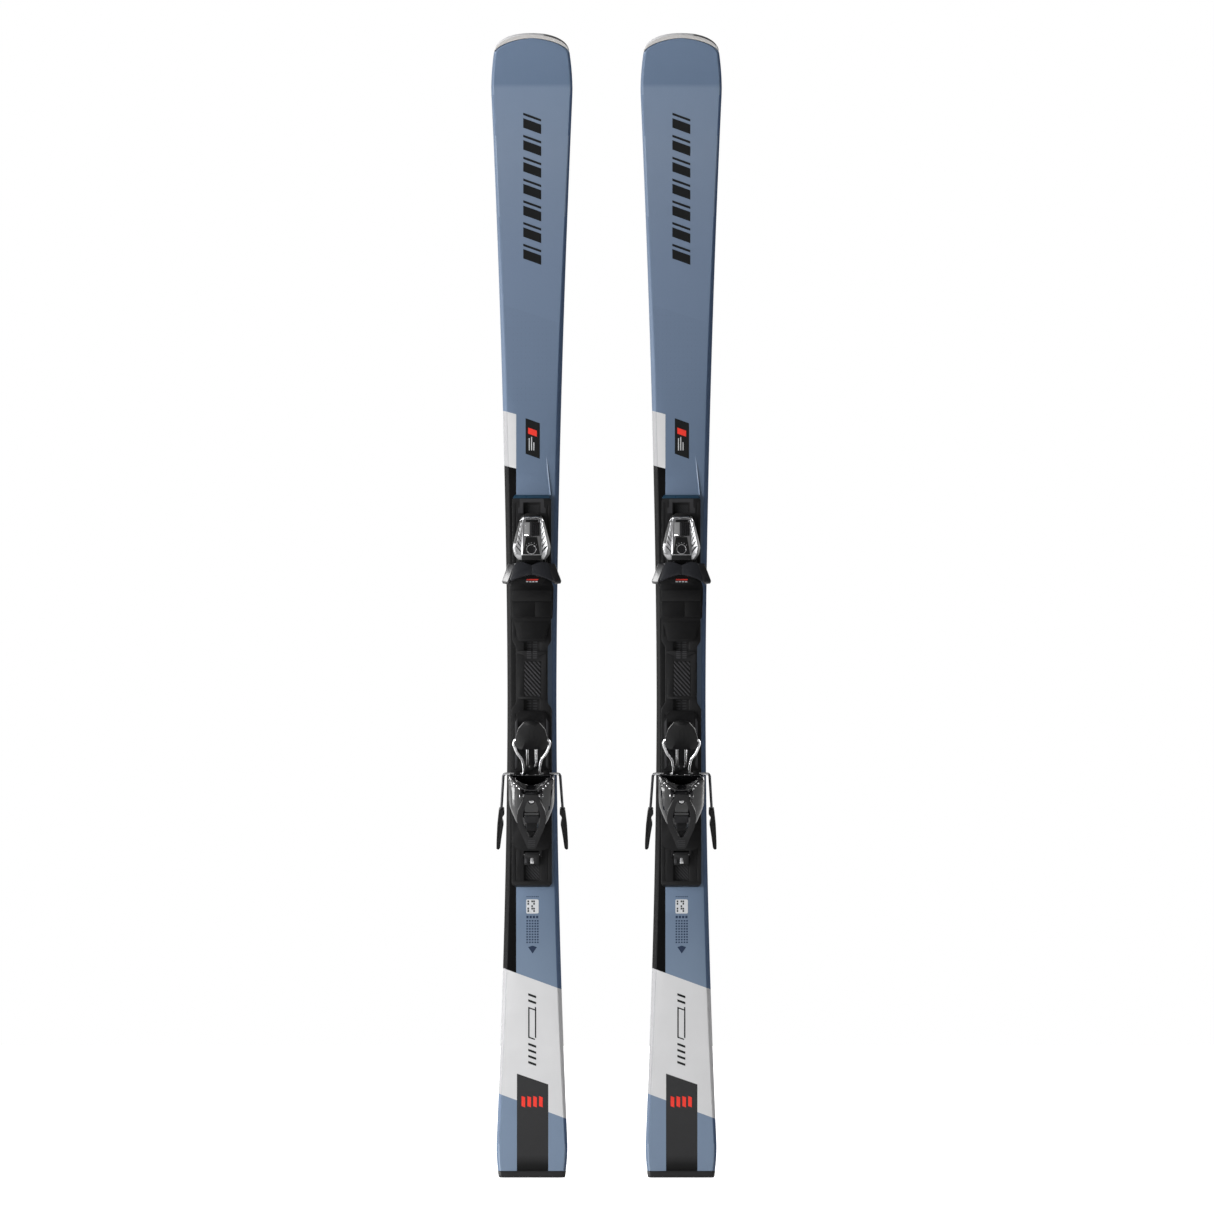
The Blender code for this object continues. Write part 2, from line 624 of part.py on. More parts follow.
def make_pedal(name, home):
    """The brake pedal: a shield that the boot's heel presses down."""
    z, h = PEDAL_PIVOT_Z, BRAKE_PIVOT_H
    half = [(0.0120, 0.0320), (0.0204, 0.0420), (0.0225, 0.0535), (0.0180, 0.0760), (0.0100, 0.0845)]
    half += [(0.0050, 0.0860)]
    plan = mirrored([(x, z + d) for x, d in half])
    pedal = outline(name, plan, h + PEDAL_LOW, h + PEDAL_LOW + PEDAL_THICK, "xz", home)
    bevel(pedal, 0.0018, 1, 30)
    return pedal


def make_pedal_link(name, home):
    """The U-shaped wire that carries the pedal and pivots at its closed end."""
    x, h, z = 0.0064, BRAKE_PIVOT_H, PEDAL_PIVOT_Z
    path = [(-x, h, z + 0.064), (-x, h, z), (x, h, z), (x, h, z + 0.064)]
    return wire(name, rounded(path, 0.0026), WIRE_R, home, 1)


def make_arm(name, side, home):
    """One brake wire: its inner end under the pedal, its pivot run, and the arm outside the ski."""
    h, z = BRAKE_PIVOT_H, ARM_PIVOT_Z
    inner = [(0.0180, 0.0610), (0.0250, 0.0580), (0.0272, 0.0510), (0.0214, 0.0348), (0.0138, 0.0241)]
    inner += [(0.0119, 0.0100), (0.0119, 0.0)]
    path = [(side * x, h, z + d) for x, d in inner]
    path.append((side * ARM_OUT_X, h, z))
    reach, droop = TIP_START + 0.012, math.radians(ARM_DROOP_DEG)
    path.append((side * 0.0462, h - reach * math.sin(droop), z - reach * math.cos(droop)))
    return wire(name, rounded(path, 0.0048), WIRE_R, home, 1)


def make_arm_tip(name, side, home, cutters):
    """The moulded claw at the end of a brake arm, notched on its inner side."""
    droop = math.radians(ARM_DROOP_DEG)
    start, end = TIP_START, ARM_LONG
    half = BRAKE_TIP_WIDE / 2
    x0, x1 = 0.0455, ARM_TIP_X

    def centre(d):
        return x0 + (x1 - x0) * (d - start) / (end - start)

    outer = [(centre(d) + half * w, -d) for d, w in ((start, 0.9), (start + 0.03, 1.0), (end - 0.012, 0.75))]
    end_arc = [(centre(end) + half * 0.1, -end), (centre(end) - half * 0.45, -end + 0.003)]
    inner_run = [(end - 0.022, 0.8), (start + 0.034, 1.0), (start + 0.026, 1.15), (start + 0.018, 0.45)]
    inner_run += [(start + 0.013, 0.55), (start + 0.009, 1.1), (start, 0.9)]
    inner = [(centre(d) - half * w, -d) for d, w in inner_run]
    plan = [(side * x, d) for x, d in outer + end_arc + inner]
    low, high = -BRAKE_TIP_THICK / 2, BRAKE_TIP_THICK / 2
    tip = outline(name, plan, low, high, "xz", home)
    place = Matrix.Translation(at(0, BRAKE_PIVOT_H, ARM_PIVOT_Z)) @ Matrix.Rotation(-droop * -1, 4, "X")
    tip.data.transform(place)
    reach = TIP_START + 0.0125
    hole = rod(
        name + "_hole",
        WIRE_R + 0.0004,
        (side * ARM_OUT_X * 1.0062, BRAKE_PIVOT_H, ARM_PIVOT_Z + 0.0),
        (side * 0.0463, BRAKE_PIVOT_H - reach * math.sin(droop), ARM_PIVOT_Z - reach * math.cos(droop)),
        cutters,
        12,
    )
    boolean(tip, hole, "DIFFERENCE")
    return tip


# ---------------------------------------------------------------- heel piece


def make_heel_base(name, home, cutters):
    """The carriage: brake floor in front, block behind, lugs round the brake wires, and the ears
    and axle that the heel cup turns on."""
    plan = [(0.0150, HEEL_REAR_Z), (0.0250, HEEL_REAR_Z + 0.004), (HEEL_HALF, 0.500)]
    plan += [(HEEL_HALF, HEEL_BLOCK_FRONT_Z), (0.0270, 0.6000), (0.0270, 0.680), (0.0180, HEEL_FRONT_Z)]
    base = outline(name, mirrored(plan), RIDE_H, HEEL_DECK_H, "xz", home)
    above_floor = box(
        name + "_recess", (-0.05, 0.05), (BRAKE_FLOOR_H, 0.06), (HEEL_BLOCK_FRONT_Z, 0.75), cutters
    )
    boolean(base, above_floor, "DIFFERENCE")
    boolean(base, slide_foot(name + "_foot", 0.4900, 0.6900, cutters), "UNION")
    for side in (-1, 1):
        lug_x = sorted((side * 0.0175, side * 0.0265))
        lug = box(f"{name}_lug{side}", lug_x, (0.0300, 0.0378), (0.5940, 0.6062), cutters)
        boolean(base, lug, "UNION")
        ear_x = sorted((side * 0.0215, side * 0.0275))
        profile = [(0.555, 0.0330), (0.586, 0.0330), *arc((CUP_PIVOT_Z, CUP_PIVOT_H), 0.0065, 0, 180, 6)]
        boolean(base, outline(f"{name}_ear{side}", profile, *ear_x, "zh", cutters), "UNION")
    axle = cross_rod(name + "_axle", CUP_AXLE_R, CUP_AXLE_REACH, CUP_PIVOT_H, CUP_PIVOT_Z, cutters)
    boolean(base, axle, "UNION")
    saddle_z = (PEDAL_PIVOT_Z - 0.0045, PEDAL_PIVOT_Z + 0.0045)
    boolean(base, box(name + "_saddle", (-0.0028, 0.0028), (0.0300, 0.0376), saddle_z, cutters), "UNION")
    for side in (-1, 1):
        ear_x = sorted((side * (LATCH_HALF + 0.0005), side * 0.0150))
        profile = [(0.4890, 0.0280), (0.4890, 0.0345), (0.4800, 0.0345), (0.4770, 0.0310), (0.4770, 0.0280)]
        boolean(base, outline(f"{name}_latch_ear{side}", profile, *ear_x, "zh", cutters), "UNION")
    pin = cross_rod(name + "_latch_pin", LATCH_PIN_R, 0.0148, LATCH_PIVOT_H, LATCH_PIVOT_Z, cutters, 10)
    boolean(base, pin, "UNION")
    for word, z, reach in (("wires", ARM_PIVOT_Z, 0.04), ("link", PEDAL_PIVOT_Z, 0.006)):
        hole = cross_rod(f"{name}_{word}", WIRE_R + 0.0004, reach, BRAKE_PIVOT_H, z, cutters)
        boolean(base, hole, "DIFFERENCE")
    return base


def cup_point(d, r):
    """A point given ahead of (d) and above (r) the cup's pivot, with the cup closed."""
    return (CUP_PIVOT_Z + d, CUP_PIVOT_H + r)


def make_heel_cup(name, home, cutters):
    """The heel cup and spring housing, drawn closed: a treadle, cheeks and a roof round the boot's
    heel lug, and a body that tapers to the rear."""
    profile = [(0.0320, -0.0056), (0.0320, TREADLE_TOP), (0.0440, 0.0175), (0.0440, 0.0215)]
    profile += [(0.0400, 0.0275), (0.0250, 0.0335), (0.0000, 0.0362), (-0.0280, 0.0335)]
    profile += [(-0.0480, 0.0285), (-0.0500, 0.0268), (-0.0080, -0.0040), (0.0000, -0.0075)]
    profile += [(0.0150, -0.0080), (0.0175, -0.0056)]
    cup = outline(name, [cup_point(*p) for p in profile], -CUP_HALF, CUP_HALF, "zh", home)
    # taper the body towards the rear, and round the cup's front in plan
    plan = [(0.0285, 0.0480), (0.0330, 0.0400), (CUP_HALF, 0.0250), (CUP_HALF, -0.0020), (0.0300, -0.0180)]
    plan += [(0.0190, -0.0440), (0.0120, -0.0540)]
    mould = outline(
        name + "_mould", mirrored([(x, CUP_PIVOT_Z + d) for x, d in plan]), 0.0, 0.12, "xz", cutters
    )
    boolean(cup, mould, "INTERSECT")
    # the space for the boot's heel lug, open to the front
    inner = [(-0.0285, 0.060), (-0.0285, 0.024), (-0.0200, 0.0115), (0.0200, 0.0115), (0.0285, 0.024)]
    inner += [(0.0285, 0.060)]
    lug = outline(
        name + "_lug",
        [(x, CUP_PIVOT_Z + d) for x, d in inner],
        CUP_PIVOT_H + TREADLE_TOP,
        CUP_PIVOT_H + 0.0185,
        "xz",
        cutters,
    )
    boolean(cup, lug, "DIFFERENCE")
    # room for the ears and the axle
    for side in (-1, 1):
        x = sorted((side * 0.0210, side * 0.0282))
        swing = [cup_point(*p) for p in arc((0, 0), 0.0100, 30, 150, 5)]
        swing += [cup_point(-0.0225, 0.0045), cup_point(-0.0240, -0.0300), cup_point(0.0120, -0.0300)]
        swing += [cup_point(0.0240, -0.0160)]
        boolean(cup, outline(f"{name}_slot{side}", swing, *x, "zh", cutters), "DIFFERENCE")
    radius, reach = CUP_AXLE_R + GAP, CUP_AXLE_REACH + 2 * GAP
    axle_hole = cross_rod(name + "_axle_hole", radius, reach, CUP_PIVOT_H, CUP_PIVOT_Z, cutters)
    boolean(cup, axle_hole, "DIFFERENCE")
    # the spring's bore, open underneath
    z0, z1 = CUP_PIVOT_Z - 0.0260, CUP_PIVOT_Z + 0.0060
    h = CUP_PIVOT_H + HEEL_BORE_H
    boolean(cup, rod(name + "_bore", HEEL_BORE_R, (0, h, z0), (0, h, z1), cutters, 16), "DIFFERENCE")
    mouth_h, mouth_z = (CUP_PIVOT_H - 0.03, h), (z0 + 0.004, z0 + 0.020)
    mouth = box(name + "_mouth", (-0.0045, 0.0045), mouth_h, mouth_z, cutters)
    boolean(cup, mouth, "DIFFERENCE")
    # lugs for the lever's bar
    lever_z, lever_h = cup_point(*LEVER_PIVOT)
    for side in (-1, 1):
        x = sorted((side * 0.0125, side * 0.0170))
        ear = [(lever_z - 0.0060, lever_h - 0.0080), (lever_z + 0.0060, lever_h - 0.0080)]
        ear += arc((lever_z, lever_h), 0.0055, 0, 180, 6)
        boolean(cup, outline(f"{name}_ear{side}", ear, *x, "zh", cutters), "UNION")
    bar_hole = cross_rod(name + "_bar_hole", LEVER_BAR_R + GAP, 0.03, lever_h, lever_z, cutters)
    boolean(cup, bar_hole, "DIFFERENCE")
    pocket = rod(
        name + "_pocket",
        HEEL_SCREW_R + 0.0005,
        (0, CUP_PIVOT_H + 0.0300, CUP_PIVOT_Z + HEEL_SCREW_Z),
        (0, CUP_PIVOT_H + 0.0500, CUP_PIVOT_Z + HEEL_SCREW_Z),
        cutters,
    )
    boolean(cup, pocket, "DIFFERENCE")
    return cup


def make_lever(name, home, cutters):
    """The opening lever, drawn level: a ring round a long window, on a cross bar."""
    z, h = cup_point(*LEVER_PIVOT)
    outer = [(0.0105, 0.0040), (0.0118, -0.0040), (0.0205, -0.0240), (0.0218, -0.0360), (0.0200, -0.0500)]
    outer += [(0.0120, -0.0700), (0.0075, -0.0830), (0.0055, -0.0870)]
    inner = [(0.0060, -0.0060), (0.0118, -0.0240), (0.0132, -0.0360), (0.0118, -0.0480), (0.0030, -0.0680)]
    low = h - 0.0010
    lever = outline(
        name,
        mirrored([(x, z + d) for x, d in outer]),
        low,
        low + LEVER_THICK,
        "xz",
        home,
        holes=[mirrored([(x, z + d) for x, d in inner])],
    )
    bar = cross_rod(name + "_bar", LEVER_BAR_R, 0.0176, h, z, cutters)
    boolean(lever, bar, "UNION")
    return lever


def make_latch(name, home, cutters):
    """The thumb latch that frees the carriage in its track."""
    profile = [(LATCH_FRONT_Z, 0.0300), (LATCH_FRONT_Z, 0.0335), (0.4800, 0.0348), (0.4700, 0.0325)]
    profile += [(LATCH_REAR_Z, 0.0335), (LATCH_REAR_Z, 0.0312), (0.4700, 0.0276), (0.4810, 0.0276)]
    latch = outline(name, profile, -LATCH_HALF, LATCH_HALF, "zh", home)
    hole = cross_rod(name + "_hole", LATCH_PIN_R + GAP, 0.02, LATCH_PIVOT_H, LATCH_PIVOT_Z, cutters, 10)
    boolean(latch, hole, "DIFFERENCE")
    return latch


# ---------------------------------------------------------------- assembly


def set_origin(obj, pivot, turn_deg=0.0):
    """Puts obj's origin, and its cutters', on a joint's axis at (h, z) and turns them about it."""
    centre = at(0, *pivot)
    group = [obj] + [m.object for m in obj.modifiers if m.type == "BOOLEAN"]
    for member in group:
        member.data.transform(Matrix.Translation(-centre))
        member.location = centre
        member.rotation_euler.x = math.radians(turn_deg)


def build_ski(prefix, x, home, cutters):
    ski = bpy.data.objects.new(prefix, None)
    ski.location = (x, 0.0, 0.0)
    home.objects.link(ski)
    made = {}

    def add(name, obj, finish):
        obj.data.materials.clear()
        obj.data.materials.append(material(finish))
        smooth(obj)
        made[name] = obj
        return obj

    def named(name):
        return f"{prefix}_{name}"

    def edge_top(_):
        return EDGE_HIGH

    def ground(_):
        return 0.0

    def wall_low(_):
        return EDGE_HIGH + GAP

    def wall_high(z):
        return side_height(z) - GAP

    add("running_base", make_base(named("running_base"), home), "polyethylene")
    add("core", make_core(named("core"), home), "wood_core")
    add("topsheet", make_topsheet(named("topsheet"), home), "topsheet")
    add("tip_guard", make_tip_guard(named("tip_guard"), home), "tip_guard")
    add("tail_guard", make_tail_guard(named("tail_guard"), home), "black_plastic")
    for word, side in (("left", -1), ("right", 1)):
        edge = side_strip(named("edge_" + word), side, EDGE_WIDE, 0.0, ground, edge_top, home)
        add("edge_" + word, edge, "edge_steel")
        inner = EDGE_WIDE + SIDEWALL_WIDE - GAP
        wall = side_strip(named("sidewall_" + word), side, inner, 0.0003, wall_low, wall_high, home)
        add("sidewall_" + word, wall, "sidewall")

    add("binding_plate", make_plate(named("binding_plate"), home, cutters), "black_plastic")
    add("track_cover", make_cover(named("track_cover"), home), "black_plastic")

    add("toe_base", make_toe_base(named("toe_base"), home, cutters), "black_plastic")
    add("toe_housing", make_toe_housing(named("toe_housing"), home, cutters), "toe_metal")
    add("afd_plate", make_afd(named("afd_plate"), home, cutters), "black_plastic")
    spring_z = HOUSING_REAR_Z + 0.003
    spring = make_spring(
        named("toe_spring"), 0.0075, 0.0014, TOE_BORE_H, spring_z, spring_z + TOE_BORE_DEEP - 0.007, 5, home
    )
    add("toe_spring", spring, "spring_steel")
    screw = make_screw(
        named("toe_screw"), TOE_SCREW_R, TOE_SCREW_LOW_H, TOE_SCREW_TOP_H, TOE_SCREW_Z, home, cutters
    )
    set_origin(add("toe_screw", screw, "chrome"), (TOE_SCREW_LOW_H, TOE_SCREW_Z))
    for word, side in (("left", -1), ("right", 1)):
        wing = make_wing(named("toe_wing_" + word), side, home, cutters)
        centre = at(side * WING_PIVOT_X, WING_LOW_H, WING_PIVOT_Z)
        for member in [wing] + [m.object for m in wing.modifiers if m.type == "BOOLEAN"]:
            member.data.transform(Matrix.Translation(-centre))
            member.location = centre
        add("toe_wing_" + word, wing, "gloss_plastic")

    pedal = add("brake_pedal", make_pedal(named("brake_pedal"), home), "black_plastic")
    link = add("brake_link", make_pedal_link(named("brake_link"), home), "chrome")
    for piece in (pedal, link):
        set_origin(piece, (BRAKE_PIVOT_H, PEDAL_PIVOT_Z), PEDAL_OPEN_DEG)
    for word, side in (("left", -1), ("right", 1)):
        arm = add("brake_arm_" + word, make_arm(named("brake_arm_" + word), side, home), "chrome")
        tip = make_arm_tip(named("brake_tip_" + word), side, home, cutters)
        add("brake_tip_" + word, tip, "black_plastic")
        for piece in (arm, tip):
            set_origin(piece, (BRAKE_PIVOT_H, ARM_PIVOT_Z), ARM_OPEN_DEG)

    add("heel_base", make_heel_base(named("heel_base"), home, cutters), "black_plastic")
    cup = add("heel_cup", make_heel_cup(named("heel_cup"), home, cutters), "gloss_plastic")
    low = CUP_PIVOT_H + 0.0304
    head = make_screw(
        named("heel_screw"), HEEL_SCREW_R, low, low + 0.0046, CUP_PIVOT_Z + HEEL_SCREW_Z, home, cutters
    )
    head = add("heel_screw", head, "chrome")
    coil = make_spring(
        named("heel_spring"),
        0.0060,
        0.0011,
        CUP_PIVOT_H + HEEL_BORE_H,
        CUP_PIVOT_Z - 0.0240,
        CUP_PIVOT_Z + 0.0040,
        5,
        home,
    )
    coil = add("heel_spring", coil, "spring_steel")
    for piece in (cup, head, coil):
        set_origin(piece, (CUP_PIVOT_H, CUP_PIVOT_Z), CUP_OPEN_DEG)
    lever = add("heel_lever", make_lever(named("heel_lever"), home, cutters), "black_plastic")
    lever_z, lever_h = cup_point(*LEVER_PIVOT)
    set_origin(lever, (lever_h, lever_z))
    # the lever's own slope, and its place once the cup is open
    swing = Matrix.Rotation(math.radians(CUP_OPEN_DEG), 4, "X")
    centre = at(0, CUP_PIVOT_H, CUP_PIVOT_Z)
    open_place = centre + swing @ (at(0, lever_h, lever_z) - centre)
    for member in [lever] + [m.object for m in lever.modifiers if m.type == "BOOLEAN"]:
        member.location = open_place
        member.rotation_euler.x = math.radians(LEVER_SLOPE_DEG)
    latch = add("track_latch", make_latch(named("track_latch"), home, cutters), "black_plastic")
    set_origin(latch, (LATCH_PIVOT_H, LATCH_PIVOT_Z))

    members = list(made.values())
    members += [m.object for obj in made.values() for m in obj.modifiers if m.type == "BOOLEAN"]
    for member in members:
        member.parent = ski
    return ski


def main():
    clear_scene()
    home = new_collection("alpine_skis")
    cutters = new_collection("cutters")
    for prefix, side in (("ski1", -1), ("ski2", 1)):
        build_ski(prefix, side * SKI_SPACING / 2, home, cutters)


main()
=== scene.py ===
"""Looks for a pair of alpine skis with bindings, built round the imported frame.

Each piece is drawn once in a ski's own frame (x across, h above the base, z from tail to tip) and put
on both skis. World +Z runs to the tips and the tops face -Y.
"""

import math

import bmesh
import bpy
from mathutils import Matrix, Vector


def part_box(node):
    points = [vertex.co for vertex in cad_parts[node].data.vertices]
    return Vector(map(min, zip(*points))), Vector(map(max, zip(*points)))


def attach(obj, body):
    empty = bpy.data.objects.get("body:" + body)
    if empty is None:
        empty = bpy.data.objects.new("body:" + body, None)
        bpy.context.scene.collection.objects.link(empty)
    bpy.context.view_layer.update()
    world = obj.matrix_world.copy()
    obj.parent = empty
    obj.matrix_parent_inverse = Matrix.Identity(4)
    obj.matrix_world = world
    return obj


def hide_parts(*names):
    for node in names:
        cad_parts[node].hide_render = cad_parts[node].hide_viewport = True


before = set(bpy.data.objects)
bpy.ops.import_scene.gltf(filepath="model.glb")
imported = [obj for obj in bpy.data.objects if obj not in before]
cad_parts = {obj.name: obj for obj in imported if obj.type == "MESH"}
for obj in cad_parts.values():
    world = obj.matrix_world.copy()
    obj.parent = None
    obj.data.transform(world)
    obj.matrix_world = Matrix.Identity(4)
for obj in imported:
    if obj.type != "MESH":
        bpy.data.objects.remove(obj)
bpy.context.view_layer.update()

SCENE = bpy.context.scene
MM = 0.001
STILL = Matrix.Identity(4)
SIDES = ((-1, "left"), (1, "right"))


def centre_x(ski):
    low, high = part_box(ski + "_binding_plate")
    return (low.x + high.x) / 2


SKI_X = {ski: centre_x(ski) for ski in ("ski1", "ski2")}

# ---- the ski's lines, as in the frame
LENGTH = 1.7
TIP_WIDTH, TIP_WIDEST_Z, TIP_SIDECUT = 0.121, 1.616, 1.7
WAIST_WIDTH, WAIST_Z = 0.073, 0.711
TAIL_WIDTH, TAIL_WIDEST_Z, TAIL_SIDECUT = 0.106, 0.048, 1.8
TAIL_END_HALF = 0.049
SHOULDER_Z, SHOULDER_HALF, TIP_ARC_POWER, GUARD_ARC_POWER = 1.6705, 0.0564, 2.2, 1.75
CONTACT_REAR_Z, CONTACT_FRONT_Z, CAMBER = 0.12, 1.44, 0.003
TIP_LIFT, TIP_LIFT_POWER, TAIL_LIFT = 0.048, 2.6, 0.008
TIP_THICK, TAIL_THICK, DECK_H, TIP_TAPER_PAST = 0.006, 0.0078, 0.017, 0.06
SIDE_SHARE = 0.6  # of the thickness: where the sidewall ends and the bevel starts
BEVEL_WIDE, BEVEL_NARROWING = 0.006, 0.0026
BEVEL_REAR_Z, BEVEL_FRONT_Z, BEVEL_RUNOUT = 0.36, 1.15, 0.4
SPINE_HIGH, SPINE_HALF, SPINE_RUNOUT, CROWN = 0.0014, 0.023, 0.22, 0.0002
TIP_GUARD_DEEP, TAIL_GUARD_DEEP = 0.0074, 0.0096
EDGE_WIDE, EDGE_HIGH = 0.0022, 0.002
BASE_THICK, SKIN_THICK, SIDEWALL_WIDE, GAP = 0.0013, 0.0014, 0.003, 0.0003
PLATE_REAR_Z, PLATE_FRONT_Z, NOSE_LONG, PLATE_TOP_H = 0.4358, 1.0105, 0.0052, 0.027
RIDE_H = PLATE_TOP_H + GAP
TOE_DECK_H, TOE_LOW_H, SCREW_Z = 0.0338, 0.042, 0.9345
WING_PIN = (0.0125, 0.905)
HEEL_DECK_H, BRAKE_FLOOR_H = 0.0348, 0.0312

# ---- axes of the turning pieces, as (h, z), and how far each is open at rest
PEDAL_AXIS, PEDAL_OPEN = (0.034, 0.612), 35.0
ARM_AXIS, ARM_OPEN, ARM_DROOP = (0.034, 0.6014), 29.0, 3.6
CUP_AXIS, CUP_OPEN = (0.044, 0.572), 35.0
LEVER_AHEAD, LEVER_ABOVE, LEVER_SLOPE = 0.025, 0.0385, 27.0
LATCH_AXIS = (0.0316, 0.4815)


# ---------------------------------------------------------------- shapes


def at(x, h, z):
    """The place x across the ski, h above its base and z from its tail."""
    return Vector((x, -h, z))


def spawn(name, data):
    obj = bpy.data.objects.new(name, data)
    SCENE.collection.objects.link(obj)
    return obj


def from_bmesh(bm, name="piece"):
    bmesh.ops.recalc_face_normals(bm, faces=bm.faces)
    if bm.calc_volume(signed=True) < 0:
        bmesh.ops.reverse_faces(bm, faces=bm.faces)
    mesh = bpy.data.meshes.new(name)
    bm.to_mesh(mesh)
    bm.free()
    return spawn(name, mesh)


def loft(sections):
    """A closed skin through rings that each list the same number of (x, h, z) points."""
    bm = bmesh.new()
    rings = [[bm.verts.new(at(*p)) for p in ring] for ring in sections]
    count = len(rings[0])
    for near, far in zip(rings, rings[1:]):
        for i in range(count):
            j = (i + 1) % count
            bm.faces.new((near[i], near[j], far[j], far[i]))
    bm.faces.new(rings[0])
    bm.faces.new(rings[-1])
    return from_bmesh(bm)


def box(x, h, z):
    """A block between two x, two h and two z."""
    ring = [(x[0], h[0]), (x[1], h[0]), (x[1], h[1]), (x[0], h[1])]
    return loft([[(u, v, end) for u, v in ring] for end in z])


def slab(points, low, high, plane="xz", holes=()):
    """A flat outline given thickness: "xz" seen from above the ski, "zh" from its side, "xh" end on."""
    curve = bpy.data.curves.new("slab", "CURVE")
    curve.dimensions = "2D"
    curve.fill_mode = "BOTH"
    curve.extrude = (high - low) / 2
    for ring in (points, *holes):
        spline = curve.splines.new("POLY")
        spline.points.add(len(ring) - 1)
        for point, (u, v) in zip(spline.points, ring):
            point.co = (u, v, 0.0, 1.0)
        spline.use_cyclic_u = True
    middle = (low + high) / 2
    u_axis, v_axis, thick, centre = {
        "xz": (at(1, 0, 0), at(0, 0, 1), at(0, 1, 0), at(0, middle, 0)),
        "zh": (at(0, 0, 1), at(0, 1, 0), at(1, 0, 0), at(middle, 0, 0)),
        "xh": (at(1, 0, 0), at(0, 1, 0), at(0, 0, 1), at(0, 0, middle)),
    }[plane]
    if u_axis.cross(v_axis).dot(thick) < 0:
        thick = -thick
    turn = Matrix((u_axis, v_axis, thick)).transposed().to_4x4()
    return curve_solid(curve, Matrix.Translation(centre) @ turn)


def tube(points, radius, sides=4):
    """A round wire through (x, h, z) points."""
    curve = bpy.data.curves.new("tube", "CURVE")
    curve.dimensions = "3D"
    curve.bevel_depth = radius
    curve.bevel_resolution = sides
    curve.use_fill_caps = True
    spline = curve.splines.new("POLY")
    spline.points.add(len(points) - 1)
    for point, place in zip(spline.points, points):
        point.co = (*at(*place), 1.0)
    return curve_solid(curve, STILL)


def curve_solid(curve, matrix):
    obj = spawn("curve", curve)
    bpy.context.view_layer.update()
    mesh = solid_of(obj)
    mesh.transform(matrix)
    bpy.data.objects.remove(obj)
    bm = bmesh.new()
    bm.from_mesh(mesh)
    bpy.data.meshes.remove(mesh)
    bmesh.ops.remove_doubles(bm, verts=bm.verts, dist=1e-6)
    return from_bmesh(bm)


def lathe(profile, x, z, steps=32):
    """Turned about a line that stands on the ski at x and z; profile lists (radius, h)."""
    turns = [2 * math.pi * i / steps for i in range(steps)]
    return loft([[(x + r * math.cos(a), h, z + r * math.sin(a)) for a in turns] for r, h in profile])


def cross_rod(radius, reach, h, z, steps=20):
    """A rod across the ski at (h, z), reaching that far either way, with bevelled ends."""
    turns = [2 * math.pi * i / steps for i in range(steps)]
    profile = [(radius * 0.85, -reach), (radius, -reach + radius * 0.2)]
    profile += [(radius, reach - radius * 0.2), (radius * 0.85, reach)]
    return loft([[(x, h + r * math.cos(a), z + r * math.sin(a)) for a in turns] for r, x in profile])


def arc(centre, radius, start_deg, end_deg, steps):
    """Points on part of a circle."""
    turns = [math.radians(start_deg + (end_deg - start_deg) * i / steps) for i in range(steps + 1)]
    return [(centre[0] + radius * math.cos(a), centre[1] + radius * math.sin(a)) for a in turns]


def turned_corners(points, radius, steps=4, closed=True):
    """The same path with each corner turned on a radius; works on points of any dimension."""
    path = [Vector(p) for p in points]
    count = len(path)
    out = [] if closed else [path[0]]
    for i in range(count) if closed else range(1, count - 1):
        corner = path[i]
        back, ahead = path[i - 1] - corner, path[(i + 1) % count] - corner
        reach = min(radius, back.length * 0.45, ahead.length * 0.45)
        start, end = corner + back.normalized() * reach, corner + ahead.normalized() * reach
        for step in range(steps + 1):
            t = step / steps
            out.append(start * (1 - t) ** 2 + corner * 2 * t * (1 - t) + end * t**2)
    return [tuple(p) for p in (out if closed else [*out, path[-1]])]


def mirrored(half):
    """A whole outline from its +x half, listed from one end of the centre line to the other."""
    return [*half, *((-u, v) for u, v in reversed(half))]


def solid_of(obj):
    """The mesh that an object shows with its modifiers."""
    graph = bpy.context.evaluated_depsgraph_get()
    return bpy.data.meshes.new_from_object(obj.evaluated_get(graph))


def combine(obj, others, operation):
    for other in others:
        mod = obj.modifiers.new("join", "BOOLEAN")
        mod.operation = operation
        mod.object = other
        mod.solver = "EXACT"
    bpy.context.view_layer.update()
    mesh = solid_of(obj)
    obj.modifiers.clear()
    obj.data = mesh
    for other in others:
        bpy.data.objects.remove(other)
    return obj


def carved(obj, *cutters):
    return combine(obj, cutters, "DIFFERENCE")


def joined(obj, *others):
    return combine(obj, others, "UNION")


def gathered(parts):
    """Solids that don't touch, as one object."""
    bm = bmesh.new()
    for part in parts:
        bm.from_mesh(part.data)
        bpy.data.objects.remove(part)
    return from_bmesh(bm)


def soften(obj, width, segments=2, angle=30):
    """Rounds the sharp edges."""
    mod = obj.modifiers.new("edges", "BEVEL")
    mod.width = width
    mod.segments = segments
    mod.limit_method = "ANGLE"
    mod.angle_limit = math.radians(angle)
    return obj


def sculpt(obj, voxel, passes):
    """Melts the edges together, as on a moulded part: an even skin, then smoothing."""
    skin = obj.modifiers.new("skin", "REMESH")
    skin.mode = "VOXEL"
    skin.voxel_size = voxel
    relax = obj.modifiers.new("relax", "SMOOTH")
    relax.factor = 0.5
    relax.iterations = passes
    return obj


def about(axis, degrees):
    """The turn about a line across the ski at (h, z)."""
    centre = Matrix.Translation(at(0, *axis))
    return centre @ Matrix.Rotation(math.radians(degrees), 4, "X") @ centre.inverted()


